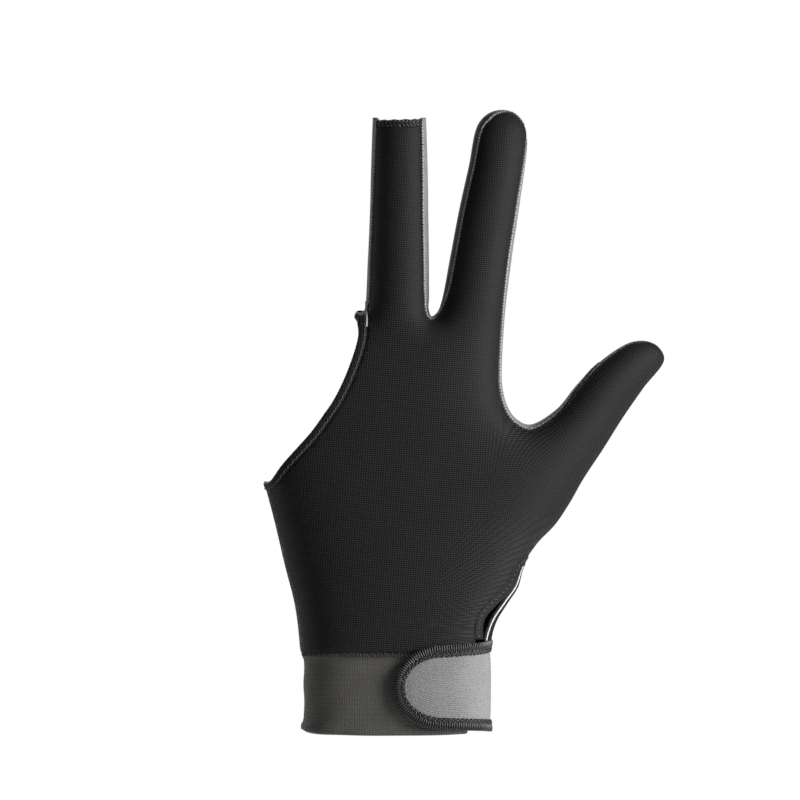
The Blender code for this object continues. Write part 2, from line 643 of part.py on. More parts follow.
    def _make_sheet(self, name, points, normals, tris, finish):
        """Closed solid from a lifted triangle sheet."""
        count = len(points)
        verts = [tuple(p) for p in points] + [tuple(p) for p in points - normals * CLOTH]
        directed = {}
        for a, b, c in tris:
            for edge in ((a, b), (b, c), (c, a)):
                directed[edge] = True
        faces = [tuple(t) for t in tris]
        faces += [(c + count, b + count, a + count) for a, b, c in tris]
        for a, b in directed:
            if (b, a) not in directed:
                faces.append((b, a, a + count))
                faces.append((b, a + count, b + count))
        add_object(name, verts, faces, finish)

    # ---- strips laid on the skin ----

    def ribbon(self, name, grid, sides, outer, inner, finish, closed=False):
        """Closed solid from a grid of plan points lifted on the skin.

        outer and inner are heights over the skin, single values or one for each row.
        """
        stations, rows = grid.shape[:2]
        points, normals = self.skin.lift(grid.reshape(-1, 2), np.asarray(sides).reshape(-1))
        points = points.reshape(stations, rows, 3)
        normals = normals.reshape(stations, rows, 3)
        outer = np.broadcast_to(outer, (stations, rows))[..., None]
        inner = np.broadcast_to(inner, (stations, rows))[..., None]
        make_ribbon(name, points + normals * outer, points + normals * inner, finish, closed)

    def fourchette(self, name):
        """Finger side strip between the back and palm seams."""
        start, end = self.outline.strip_span(name)
        places = np.concatenate([[start], self.stations_between(start, end), [end]])
        inset = self.outline.seam_inset(places)
        turn = np.maximum(np.arccos(1 - inset / NOMINAL_SIDE) - GAP / NOMINAL_SIDE, 0.05)
        shares = np.array([-1.0, -0.55, 0.0, 0.55, 1.0])
        turns = turn[:, None] * shares[None]
        depth = NOMINAL_SIDE * (1 - np.cos(turns))
        grid = (self.outline.point(places)[:, None, :]
                + self.outline.inward(places)[:, None, :] * depth[..., None])
        sides = np.broadcast_to(np.where(shares < 0, -1.0, 1.0), turns.shape)
        self.ribbon(name, grid, sides, 0.0, -CLOTH, GREY_MESH)

    def opening_hem(self):
        """Turned hem all round the opening: back, little-finger side, palm and web."""
        edge = self.opening_path(0.0)
        inner = self.opening_path(HEM)
        floats = resample(self.skin, edge, -1.0, MESH_STEP * 0.8)
        edge, inner = pick(edge, floats), pick(inner, floats)
        shares = np.array([0.0, 0.5, 1.0])
        half = edge[:, None, :] * (1 - shares[None, :, None]) + inner[:, None, :] * shares[None, :, None]
        # The first and last stations lie on the outline itself, shared by both sides.
        for station in (0, -1):
            nearest = [self.outline.polygon[np.argmin(np.linalg.norm(self.outline.polygon - p, axis=1))]
                       for p in half[station]]
            half[station] = np.array(nearest)
        grid = np.vstack([half, half[-2:0:-1]])
        sides = np.concatenate([np.full(len(half), -1.0), np.full(len(half) - 2, 1.0)])
        sides = np.broadcast_to(sides[:, None], grid.shape[:2])
        rise = np.array([HEM_RISE * 0.3, HEM_RISE, HEM_RISE])
        self.ribbon("opening_hem", grid, sides, rise, -CLOTH - HEM_RISE, BLACK_HEM, closed=True)

    def tip_hem(self, name, side):
        """Turned hem of one side of the open fingertip."""
        turns = np.radians(np.linspace(-90, 90, 10))
        rows = []
        for drop in (0.0, TIP_HEM / 2, TIP_HEM):
            line = self.tip_cut(drop)
            height = line[:, 1].mean()
            left_place = self._place_at("middle_root_outer", "middle_tip_outer", height)
            right_place = self._place_at("middle_tip_inner", "middle_root_inner", height)
            ends = []
            for place in (left_place, right_place):
                inset = float(self.outline.seam_inset(np.array([place]))[0]) + GAP * 0.35
                ends.append((self.outline.point(place) + self.outline.inward(place) * inset)[0])
            x = (ends[0] + ends[1]) / 2 + (ends[1] - ends[0]) / 2 * np.sin(turns)
            z = np.interp(x, line[:, 0], line[:, 1])
            rows.append(np.stack([x, z], axis=1))
        grid = np.stack(rows, axis=1)
        rise = np.array([HEM_RISE * 0.3, HEM_RISE, HEM_RISE])
        self.ribbon(name, grid, np.full(grid.shape[:2], side), rise, -CLOTH - HEM_RISE, BLACK_HEM)

    def _place_at(self, low, high, height):
        """Arc position between two landmarks at a height."""
        places = np.linspace(self.outline.marks[low], self.outline.marks[high], 300)
        heights = self.outline.point(places)[:, 1]
        order = np.argsort(heights)
        return float(np.interp(height, heights[order], places[order]))

    def slit_hem(self):
        """Stitched hem of the back panel along the slit."""
        edge = rounded_path(SLIT_EDGE)
        inner = offset_path(edge, HEM)
        low = self.wrist_seam(-1)[0, 1] + 0.0002
        keep = edge[:, 1] > low
        edge, inner = edge[keep], inner[keep]
        start = 5
        edge, inner = edge[start:], inner[start:]
        floats = resample(self.skin, edge, -1.0, MESH_STEP * 0.7)
        edge, inner = pick(edge, floats), pick(inner, floats)
        shares = np.array([0.0, 0.5, 1.0])[None, :, None]
        grid = edge[:, None, :] * (1 - shares) + inner[:, None, :] * shares
        rise = np.array([HEM_RISE * 0.3, HEM_RISE, HEM_RISE])
        self.ribbon("slit_hem", grid, -1.0 * np.ones(grid.shape[:2]), rise, -CLOTH - HEM_RISE, BLACK_HEM)

    def slit_binding(self):
        """Bound edge of the palm panel along the slit, turned to the back."""
        start = self.outline.marks["slit_top"] + 0.0040
        low = self.wrist_seam(-1)[0, 1]
        end = self._place_at("slit_top", "wrist_seam_right", low + 0.0002)
        places = np.linspace(start, end, 10)
        rows = np.array(BINDING_INSETS)
        inset = np.interp(np.linspace(0, 1, len(places)), rows[:, 0], rows[:, 1]) * STRIP_INSET
        turn = np.arccos(1 - inset / NOMINAL_SIDE)
        shares = np.array([0.0, 0.4, 0.7, 1.0])
        depth = NOMINAL_SIDE * (1 - np.cos(turn[:, None] * shares[None]))
        grid = (self.outline.point(places)[:, None, :]
                + self.outline.inward(places)[:, None, :] * depth[..., None])
        self.ribbon("slit_binding", grid, -1.0 * np.ones(grid.shape[:2]), 0.0001, -CLOTH, PIPING)

    # ---- wrist ----

    def wrist_band(self):
        """Grey band round the wrist, open on the thumb side under the strap."""
        turns = np.radians(np.linspace(38.0, 352.0, 44))
        outer, inner = [], []
        for turn in turns:
            sag = BAND_SAG * max(0.0, math.sin(turn))
            bottom = 0.0009 - sag
            column_out, column_in = [], []
            for height in np.linspace(bottom, BAND_HEIGHT, 3):
                point, normal = self.ring_point(turn, height)
                column_out.append(point - normal * BAND_DEPTH)
                column_in.append(point - normal * (BAND_DEPTH + BAND_THICK))
            outer.append(column_out)
            inner.append(column_in)
        make_ribbon("wrist_band", np.array(outer), np.array(inner), BAND_GREY)

    def strap_point(self, run, height):
        """Skin point and direction on the strap's lane."""
        return self.ring_point(self.wrist_turn(run), height)

    def lane_ribbon(self, name, grid, outer, inner, finish):
        """Closed solid from a grid of strap lane points (run, height)."""
        stations, rows = grid.shape[:2]
        outside, inside_ = np.zeros((stations, rows, 3)), np.zeros((stations, rows, 3))
        for i in range(stations):
            for j in range(rows):
                run, height = grid[i, j]
                point, normal = self.strap_point(run, height)
                base = self.strap_base(run)
                outside[i, j] = point + normal * (base + outer[j])
                inside_[i, j] = point + normal * (base + inner[j])
        make_ribbon(name, outside, inside_, finish)

    def strap(self):
        """Grey strap from its sewn end on the palm round to the rounded tab."""
        tab_end = -0.0003
        middle = tab_end + TAB_LENGTH
        edge = EDGING + GAP
        columns = []
        for angle in np.radians(np.array([14, 30, 48, 68, 90])):
            run = middle - (TAB_LENGTH - edge) * math.cos(angle)
            half = (TAB_HALF_HEIGHT - edge) * math.sin(angle)
            columns.append((run, STRAP_MIDDLE - half, STRAP_MIDDLE + half))
        for run in np.linspace(middle, tab_end + STRAP_LENGTH, 15)[1:]:
            low, high = self.strap_limits(run)
            columns.append((run, low + edge, high - edge))
        grid = np.array([[(run, low + (high - low) * share) for share in np.linspace(0, 1, 4)]
                         for run, low, high in columns])
        self.lane_ribbon("strap", grid, [STRAP_THICK] * 4, [0.0] * 4, STRAP_GREY)

    def strap_edging(self):
        """Overlocked edging along the upper edge, the tab and the lower edge."""
        tab_end = -0.0003
        middle = tab_end + TAB_LENGTH
        pairs = []
        runs = np.linspace(tab_end + STRAP_LENGTH, middle, 15)[:-1]
        for run in runs:
            high = self.strap_limits(run)[1]
            pairs.append(((run, high), (run, high - EDGING)))
        for angle in np.radians(np.linspace(90, -90, 17)):
            outer = (middle - TAB_LENGTH * math.cos(angle), STRAP_MIDDLE + TAB_HALF_HEIGHT * math.sin(angle))
            inner = (middle - (TAB_LENGTH - EDGING) * math.cos(angle),
                     STRAP_MIDDLE + (TAB_HALF_HEIGHT - EDGING) * math.sin(angle))
            pairs.append((outer, inner))
        for run in runs[::-1]:
            low = self.strap_limits(run)[0]
            pairs.append(((run, low), (run, low + EDGING)))
        shares = np.array([0.0, 0.35, 0.72, 1.0])
        grid = np.array([[np.array(a) * (1 - s) + np.array(b) * s for s in shares] for a, b in pairs])
        outer = [0.0008, STRAP_THICK + 0.0004, STRAP_THICK + 0.0004, STRAP_THICK + 0.0001]
        self.lane_ribbon("strap_edging", grid, outer, [0.0, -0.0002, -0.0002, 0.0], EDGE_BLACK)

    def hook_pad(self):
        """Plain fastening between the tab and the band."""
        rows = np.linspace(STRAP_MIDDLE - 0.0088, STRAP_MIDDLE + 0.0088, 3)
        grid = np.array([[(run, z) for z in rows] for run in np.linspace(0.0045, 0.0200, 5)])
        self.lane_ribbon("hook_pad", grid, [-GAP] * 3, [-GAP - 0.0005] * 3, HOOK_BLACK)

    def build(self):
        """Make every piece."""
        self.panel("back_panel", -1.0, BLACK_KNIT)
        self.panel("palm_panel", 1.0, BLACK_KNIT)
        for name in STRIPS:
            self.fourchette(name)
        self.opening_hem()
        self.tip_hem("tip_hem_back", -1.0)
        self.tip_hem("tip_hem_palm", 1.0)
        self.slit_hem()
        self.slit_binding()
        self.wrist_band()
        self.strap()
        self.strap_edging()
        self.hook_pad()


def make_ribbon(name, outer, inner, finish, closed=False):
    """Closed solid between an outer and an inner grid of points."""
    stations, rows = outer.shape[:2]
    size = stations * rows
    verts = [tuple(p) for p in outer.reshape(-1, 3)] + [tuple(p) for p in inner.reshape(-1, 3)]
    faces = []
    last = stations if closed else stations - 1
    for i in range(last):
        k = (i + 1) % stations
        for j in range(rows - 1):
            a, b, c, d = i * rows + j, k * rows + j, k * rows + j + 1, i * rows + j + 1
            faces += [(a, b, c), (a, c, d)]
            faces += [(c + size, b + size, a + size), (d + size, c + size, a + size)]
        for j, flip in ((0, False), (rows - 1, True)):
            a, b = i * rows + j, k * rows + j
            quad = [(a, a + size, b + size), (a, b + size, b)]
            faces += [q[::-1] for q in quad] if flip else quad
    if not closed:
        for i, flip in ((0, True), (stations - 1, False)):
            for j in range(rows - 1):
                a, b = i * rows + j, i * rows + j + 1
                quad = [(a, a + size, b + size), (a, b + size, b)]
                faces += [q[::-1] for q in quad] if flip else quad
    add_object(name, verts, faces, finish)


def add_object(name, verts, faces, finish):
    """Add one named object with its own material and outward faces."""
    colour, roughness = finish
    mesh = bpy.data.meshes.new(name)
    mesh.from_pydata(verts, [], faces)
    work = bmesh.new()
    work.from_mesh(mesh)
    bmesh.ops.recalc_face_normals(work, faces=work.faces)
    for edge in work.edges:
        edge.smooth = edge.calc_face_angle(0.0) < 0.9
    for face in work.faces:
        face.smooth = True
    work.to_mesh(mesh)
    work.free()
    material = bpy.data.materials.new(name + "_finish")
    material.use_nodes = True
    shader = material.node_tree.nodes["Principled BSDF"]
    shader.inputs["Base Color"].default_value = colour
    shader.inputs["Roughness"].default_value = roughness
    shader.inputs["Metallic"].default_value = 0.0
    material.diffuse_color = colour
    mesh.materials.append(material)
    part = bpy.data.objects.new(name, mesh)
    bpy.context.scene.collection.objects.link(part)
    return part


def main():
    """Clear the scene and build the glove."""
    for old in list(bpy.data.objects):
        bpy.data.objects.remove(old, do_unlink=True)
    GloveBuilder().build()


main()
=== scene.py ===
"""Three-finger billiard glove for a left hand, dressed: knit, side strips, hems, wrist band and strap."""
import logging
import math
from collections.abc import Sequence
from dataclasses import dataclass, field
from enum import Enum

import bmesh
import bpy
import numpy as np
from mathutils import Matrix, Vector
from mathutils.bvhtree import BVHTree
from mathutils.geometry import delaunay_2d_cdt
from mathutils.kdtree import KDTree


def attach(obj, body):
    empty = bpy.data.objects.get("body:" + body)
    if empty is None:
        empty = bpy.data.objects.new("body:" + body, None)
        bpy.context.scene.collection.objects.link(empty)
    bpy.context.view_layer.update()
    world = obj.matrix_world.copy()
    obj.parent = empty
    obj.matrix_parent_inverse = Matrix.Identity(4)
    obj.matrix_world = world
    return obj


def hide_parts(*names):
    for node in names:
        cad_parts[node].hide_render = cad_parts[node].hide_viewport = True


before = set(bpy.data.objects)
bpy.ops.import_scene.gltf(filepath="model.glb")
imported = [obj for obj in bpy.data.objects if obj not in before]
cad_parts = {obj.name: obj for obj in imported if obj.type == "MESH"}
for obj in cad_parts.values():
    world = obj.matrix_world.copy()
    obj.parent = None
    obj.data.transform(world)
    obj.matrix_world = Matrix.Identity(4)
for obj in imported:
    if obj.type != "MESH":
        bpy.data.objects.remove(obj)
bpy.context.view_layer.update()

LOG = logging.getLogger("glove")
Array = np.ndarray

# Outline of the hand form, clockwise from the wrist on the little-finger side. Positions are
# shares of the wrist width and the glove height; the bows are shares of the chord to the next row.
# columns: across, up, spread, bow_before, bow_middle, bow_after
LANDMARKS: dict[str, tuple[float, ...]] = {
    "wrist_low_left": (-0.500, -0.076, 0.25, 0.000, 0.000, 0.000),
    "wrist_seam_left": (-0.502, 0.130, 0.25, -0.025, -0.017, -0.012),
    "little_corner": (-0.695, 0.404, 0.25, 0.023, 0.039, 0.033),
    "little_end": (-0.747, 0.492, 0.25, 0.047, 0.045, 0.027),
    "ring_end": (-0.279, 0.725, 0.25, 0.060, 0.087, 0.066),
    "ring_web": (-0.207, 0.679, 0.33, -0.318, -0.467, -0.333),
    "middle_root_outer": (-0.157, 0.679, 0.25, -0.005, -0.006, -0.002),
    "middle_tip_outer": (-0.116, 0.984, 0.25, 0.000, 0.000, 0.000),
    "middle_end_outer": (-0.108, 1.039, 0.25, 0.000, 0.000, 0.000),
    "middle_end_inner": (0.153, 1.039, 0.25, 0.000, 0.000, 0.000),
    "middle_tip_inner": (0.162, 0.984, 0.25, 0.004, 0.004, 0.003),
    "middle_root_inner": (0.177, 0.695, 0.37, -0.680, -1.260, -0.850),
    "index_root_inner": (0.246, 0.690, 0.25, 0.003, 0.008, 0.005),
    "index_tip_inner": (0.443, 0.978, 0.33, 0.317, 0.448, 0.301),
    "index_tip_outer": (0.695, 0.946, 0.25, -0.003, -0.012, -0.014),
    "index_root_outer": (0.560, 0.575, 0.26, -0.109, -0.173, -0.162),
    "thumb_web": (0.705, 0.492, 0.25, -0.051, -0.008, 0.020),
    "thumb_tip_upper": (1.195, 0.619, 0.28, 0.178, 0.274, 0.233),
    "thumb_tip_lower": (1.422, 0.598, 0.25, -0.008, -0.011, -0.003),
    "thumb_root": (0.992, 0.404, 0.25, 0.023, 0.027, -0.011),
    "slit_top": (0.672, 0.264, 0.25, 0.032, -0.007, -0.038),
    "wrist_seam_right": (0.499, 0.145, 0.25, 0.000, 0.000, 0.000),
    "wrist_low_right": (0.495, -0.076, 0.25, 0.000, 0.000, 0.000),
}

# Half depth of the hand form up the glove. columns: up, depth (shares)
DEPTHS = ((-0.08, 1.46), (0.13, 1.42), (0.35, 1.17), (0.60, 1.00), (1.04, 0.95))

# Finger side strips: the landmarks they run between, and rows of the share along the strip with
# the seam's distance in from the outline, as a share of the strip inset.
STRIPS: dict[str, dict] = {
    "fourchette_middle_outer": {
        "start": ("middle_root_outer", 0.033), "end": ("middle_tip_outer", 0.0),
        "insets": ((0.0, 0.58), (0.25, 0.50), (0.5, 0.44), (0.75, 0.62), (1.0, 0.76)),
    },
    "fourchette_middle_index": {
        "start": ("middle_tip_inner", 0.0), "end": ("index_tip_inner", 0.70),
        "insets": ((0.0, 0.84), (0.2, 1.08), (0.38, 0.95), (0.45, 0.40), (0.53, 1.0),
                   (0.75, 1.0), (0.905, 1.12), (0.945, 0.40), (0.965, 0.14), (1.0, 0.09)),
    },
    "fourchette_index_thumb": {
        "start": ("index_tip_outer", 0.0), "end": ("thumb_web", 0.74),
        "insets": ((0.0, 0.10), (0.04, 0.30), (0.14, 0.52), (0.32, 0.68), (0.45, 0.46),
                   (0.6, 0.42), (0.71, 0.62), (0.76, 0.80), (0.86, 0.52), (1.0, 0.10)),
    },
}

# Edge of the opening for the ring and little fingers, from the web outwards. columns: across, up
OPENING_EDGE = (
    (-0.2070, 0.6710), (-0.2000, 0.6660), (-0.1940, 0.6560), (-0.1895, 0.6450),
    (-0.1921, 0.6340), (-0.2053, 0.6160), (-0.2316, 0.5918), (-0.2663, 0.5651),
    (-0.3184, 0.5331), (-0.3711, 0.5091), (-0.4405, 0.4798), (-0.5105, 0.4559),
    (-0.5979, 0.4264), (-0.6640, 0.4000), (-0.6905, 0.3990),
)

# Edge of the back panel along the wrist slit, from its top. columns: across, up (shares)
SLIT_EDGE = (
    (0.6760, 0.2640), (0.6600, 0.2537), (0.6142, 0.2279), (0.5784, 0.2160),
    (0.5326, 0.2029), (0.4753, 0.1827), (0.4632, 0.1704), (0.4630, 0.1480),
)

# Lower end of the outer strip's raw edge, lying on the back panel. columns: across, up (shares)
STRIP_TAIL = ((-0.1500, 0.6500), (-0.1485, 0.6580), (-0.1480, 0.6700), (-0.1450, 0.6850))

# Small black corner between the opening and the middle finger. columns: across, up (shares)
WEB_CORNER = (
    (-0.2074, 0.6684), (-0.2035, 0.6745), (-0.1847, 0.6762), (-0.1647, 0.6758), (-0.1575, 0.6794),
    (-0.1548, 0.6914), (-0.1342, 0.6914), (-0.1342, 0.6625), (-0.1842, 0.6593),
)

# Binding on the palm side of the slit. columns: share down the slit, inset (share)
BINDING_INSETS = ((0.0, 0.06), (0.3, 0.34), (0.6, 0.56), (1.0, 1.0))


@dataclass(frozen=True)
class GloveSizes:
    """Sizes that several pieces share, in metres."""

    wrist_width: float = 0.0608
    glove_height: float = 0.199
    palm_half_depth: float = 0.0130
    side_radius: float = 0.0120
    nominal_side: float = 0.0090
    cloth: float = 0.0010
    gap: float = 0.00035
    hem: float = 0.0025
    tip_hem: float = 0.0021
    hem_rise: float = 0.0003
    finger_curl: float = 0.0080
    palm_arch: float = 0.0026
    knuckle_height: float = 0.125
    seam_height: float = 0.0259
    strip_inset: float = 0.0016
    strip_fade: float = 0.0015


SIZES = GloveSizes()


class Side(Enum):
    """Face of the glove."""

    BACK = -1.0
    PALM = 1.0


class Hold(Enum):
    """How a cloth piece is held."""

    STRETCHED = "stretched"
    FOLDED = "folded"


# Plan geometry


def plan_point(across: float, up: float) -> Array:
    """Place a point given in shares on the plan, x across and z up."""
    return np.array([across * SIZES.wrist_width, up * SIZES.glove_height])


def smooth(value: Array | float) -> Array | float:
    """Ease a share between 0 and 1."""
    share = np.clip(value, 0.0, 1.0)
    return share * share * (3 - 2 * share)


def point_tree(points: Array) -> KDTree:
    """Build a search tree over plan or space points.

    Args:
        points: rows of two or three coordinates.

    Returns:
        The balanced tree.
    """
    tree = KDTree(len(points))
    for index, point in enumerate(points):
        tree.insert((point[0], point[1], point[2] if len(point) > 2 else 0.0), index)
    tree.balance()
    return tree


def nearest(tree: KDTree, points: Array) -> Array:
    """Distance from each point to the closest one in a tree.

    Args:
        tree: the tree to look in.
        points: rows of two or three coordinates.

    Returns:
        One distance for each row.
    """
    return np.array([tree.find((p[0], p[1], p[2] if len(p) > 2 else 0.0))[2] for p in points])


def inside(points: Array, polygon: Array) -> Array:
    """Tell which plan points lie inside a closed polygon.

    Args:
        points: plan points.
        polygon: corners of the polygon in order.

    Returns:
        A truth value for each point.
    """
    after = np.roll(polygon, -1, axis=0)
    found = np.zeros(len(points), bool)
    for start in range(0, len(points), 4000):
        x, z = points[start:start + 4000, 0][:, None], points[start:start + 4000, 1][:, None]
        spans = (after[:, 1][None] > z) != (polygon[:, 1][None] > z)
        rise = after[:, 1] - polygon[:, 1]
        slope = (after[:, 0] - polygon[:, 0]) / np.where(rise == 0, 1e-12, rise)
        cross = polygon[:, 0][None] + (z - polygon[:, 1][None]) * slope[None]
        found[start:start + 4000] = (np.sum(spans & (x < cross), axis=1) % 2) == 1
    return found


def arc_lengths(path: Array) -> Array:
    """Running length along a polyline."""
    return np.concatenate([[0.0], np.cumsum(np.linalg.norm(np.diff(path, axis=0), axis=1))])


def evenly(path: Array, step: float) -> Array:
    """Points of a polyline at an even step.

    Args:
        path: the polyline.
        step: the spacing wanted.

    Returns:
        The points, both ends among them.
    """
    lengths = arc_lengths(path)
    places = np.linspace(0.0, lengths[-1], max(2, round(lengths[-1] / step) + 1))
    return np.stack([np.interp(places, lengths, path[:, k]) for k in range(path.shape[1])], axis=1)


def offset_path(path: Array, distance: Array | float) -> Array:
    """Shift a plan polyline to the right of its run.

    Args:
        path: the polyline.
        distance: how far, one value or one for each point.

    Returns:
        The shifted polyline.
    """
    run = np.gradient(path, axis=0)
    run /= np.linalg.norm(run, axis=1)[:, None]
    right = np.stack([run[:, 1], -run[:, 0]], axis=1)
    return path + right * np.broadcast_to(distance, len(path))[:, None]


def catmull(knots: Array, spacing: float) -> tuple[Array, list[int]]:
    """Draw a centripetal curve through all but the end knots.

    Args:
        knots: the knots, with one spare at each end.
        spacing: the spacing of the curve's points.

    Returns:
        The points, and the index of each knot among them.
    """
    points: list[Array] = []
    marks: list[int] = []
    for i in range(1, len(knots) - 2):
        p0, p1, p2, p3 = knots[i - 1:i + 3]
        t1 = math.sqrt(max(np.linalg.norm(p1 - p0), 1e-9))
        t2 = t1 + math.sqrt(max(np.linalg.norm(p2 - p1), 1e-9))
        t3 = t2 + math.sqrt(max(np.linalg.norm(p3 - p2), 1e-9))
        count = max(8, math.ceil(np.linalg.norm(p2 - p1) / spacing))
        t = (t1 + (t2 - t1) * np.arange(count) / count)[:, None]
        a1 = p0 * (t1 - t) / t1 + p1 * t / t1
        a2 = p1 * (t2 - t) / (t2 - t1) + p2 * (t - t1) / (t2 - t1)
        a3 = p2 * (t3 - t) / (t3 - t2) + p3 * (t - t2) / (t3 - t2)
        b1 = a1 * (t2 - t) / t2 + a2 * t / t2
        b2 = a2 * (t3 - t) / (t3 - t1) + a3 * (t - t1) / (t3 - t1)
        marks.append(len(points))
        points.extend(b1 * (t2 - t) / (t2 - t1) + b2 * (t - t1) / (t2 - t1))
    marks.append(len(points))
    points.append(knots[-2])
    return np.array(points), marks


def rounded_path(rows: Sequence[tuple[float, float]], spacing: float = 0.0005) -> Array:
    """Smooth open curve through table rows.

    Args:
        rows: points as shares across and up.
        spacing: the spacing of the curve's points.

    Returns:
        The plan curve.
    """
    knots = np.array([plan_point(*row) for row in rows])
    padded = np.vstack([2 * knots[0] - knots[1], knots, 2 * knots[-1] - knots[-2]])
    return catmull(padded, spacing)[0]


def triangulate(cloud: Array, ring: Array) -> tuple[Array, Array]:
    """Mesh the inside of a ring of points.

    Args:
        cloud: the ring's points first, then the points inside it.
        ring: the ring's points alone.

    Returns:
        The plan points used and the triangles between them.
    """
    links = [(i, (i + 1) % len(ring)) for i in range(len(ring))]
    verts, _, faces, _, _, _ = delaunay_2d_cdt([tuple(p) for p in cloud], links, [], 0, 1e-7)
    plan = np.array([tuple(v) for v in verts])
    tris = np.array([f for f in faces if len(f) == 3])
    tris = tris[inside(plan[tris].mean(axis=1), ring)]
    used = np.unique(tris)
    lookup = np.zeros(len(plan), int)
    lookup[used] = np.arange(len(used))
    return plan[used], lookup[tris]


def hex_grid(low: Array, high: Array, step: float) -> Array:
    """Staggered grid of plan points over a box.

    Args:
        low: lower corner.
        high: upper corner.
        step: spacing of the points.

    Returns:
        The points.
    """
    rows = np.arange(low[1], high[1], step * 0.866)
    columns = np.arange(low[0], high[0], step)
    return np.array([(x + (j % 2) * step / 2, z) for j, z in enumerate(rows) for x in columns])


def thinned(fixed: Array, extra: Array, radius: float) -> Array:
    """Choose extra space points that keep clear of the fixed points and of each other.

    Args:
        fixed: points that stay.
        extra: candidates, the most wanted first.
        radius: the distance kept.

    Returns:
        A truth value for each candidate.
    """
    cells: dict[tuple[int, int, int], list[Array]] = {}
    keys = np.floor(np.vstack([fixed, extra]) / radius).astype(int)
    kept = np.zeros(len(extra), bool)
    near = [(i, j, k) for i in (-1, 0, 1) for j in (-1, 0, 1) for k in (-1, 0, 1)]
    limit = radius * radius
    for index, key in enumerate(map(tuple, keys)):
        is_fixed = index < len(fixed)
        point = fixed[index] if is_fixed else extra[index - len(fixed)]
        x, y, z = (float(v) for v in point)
        clear = True
        if not is_fixed:
            for i, j, k in near:
                for q in cells.get((key[0] + i, key[1] + j, key[2] + k), ()):
                    if (q[0] - x) ** 2 + (q[1] - y) ** 2 + (q[2] - z) ** 2 < limit:
                        clear = False
                        break
                if not clear:
                    break
        if clear:
            cells.setdefault(key, []).append((x, y, z))
            if not is_fixed:
                kept[index - len(fixed)] = True
    return kept


class Outline:
    """Closed outline of the hand form, seen from the back and run clockwise."""

    def __init__(self) -> None:
        """Draw the outline through the landmarks and the bows between them."""
        names = list(LANDMARKS)
        knots = []
        for i, name in enumerate(names):
            across, up, spread, *bows = LANDMARKS[name]
            after = LANDMARKS[names[(i + 1) % len(names)]]
            start, end = plan_point(across, up), plan_point(after[0], after[1])
            chord = end - start
            outer = np.array([-chord[1], chord[0]])
            knots.append(start)
            for share, bow in zip((0.5 - spread, 0.5, 0.5 + spread), bows):
                knots.append(start + chord * share + outer * bow)
        padded = np.array([knots[-1]] + knots + [knots[0], knots[1]])
        self.points, marks = catmull(padded, 0.0005)
        self.lengths = arc_lengths(self.points)
        self.total = float(self.lengths[-1])
        self.marks = {name: float(self.lengths[marks[4 * i]]) for i, name in enumerate(names)}
        self.polygon = self.points[:-1]

    def point(self, place: Array | float) -> Array:
        """Plan point at an arc position."""
        place = np.mod(place, self.total)
        return np.stack([np.interp(place, self.lengths, self.points[:, k]) for k in (0, 1)], axis=-1)

    def inward(self, place: Array | float) -> Array:
        """Direction into the form at an arc position."""
        run = self.point(np.asarray(place) + 0.0008) - self.point(np.asarray(place) - 0.0008)
        run = run / np.linalg.norm(run, axis=-1)[..., None]
        return np.stack([run[..., 1], -run[..., 0]], axis=-1)

    def place(self, name: str, share: float = 0.0) -> float:
        """Arc position some share of an edge past a landmark.

        Args:
            name: the landmark.
            share: share of the way to the next landmark.

        Returns:
            The arc position.
        """
        names = list(self.marks)
        after = self.marks[names[(names.index(name) + 1) % len(names)]]
        start = self.marks[name]
        return start + share * ((after - start) % self.total)

    def strip_span(self, strip: str) -> tuple[float, float]:
        """Start and end arc positions of a finger side strip."""
        return self.place(*STRIPS[strip]["start"]), self.place(*STRIPS[strip]["end"])

    def seam_inset(self, place: Array) -> Array:
        """Distance of the panel seam in from the outline.

        Args:
            place: arc positions.

        Returns:
            One distance for each position, zero where the panels meet.
        """
        place = np.mod(place, self.total)
        inset = np.zeros_like(place)
        for strip, data in STRIPS.items():
            start, end = self.strip_span(strip)
            rows = np.array(data["insets"])
            fade = SIZES.strip_fade / (end - start)
            shares = np.concatenate([[-fade], rows[:, 0], [1 + fade]])
            depths = np.concatenate([[0.0], rows[:, 1] * SIZES.strip_inset, [0.0]])
            here = (place - start) / (end - start)
            inset = np.maximum(inset, np.interp(here, shares, depths, left=0.0, right=0.0))
        return inset

    def place_at(self, low: str, high: str, height: float) -> float:
        """Arc position between two landmarks at a height.

        Args:
            low: the first landmark.
            high: the second landmark.
            height: the height wanted.

        Returns:
            The arc position.
        """
        places = np.linspace(self.marks[low], self.marks[high], 400)
        heights = self.point(places)[:, 1]
        order = np.argsort(heights)
        return float(np.interp(height, heights[order], places[order]))


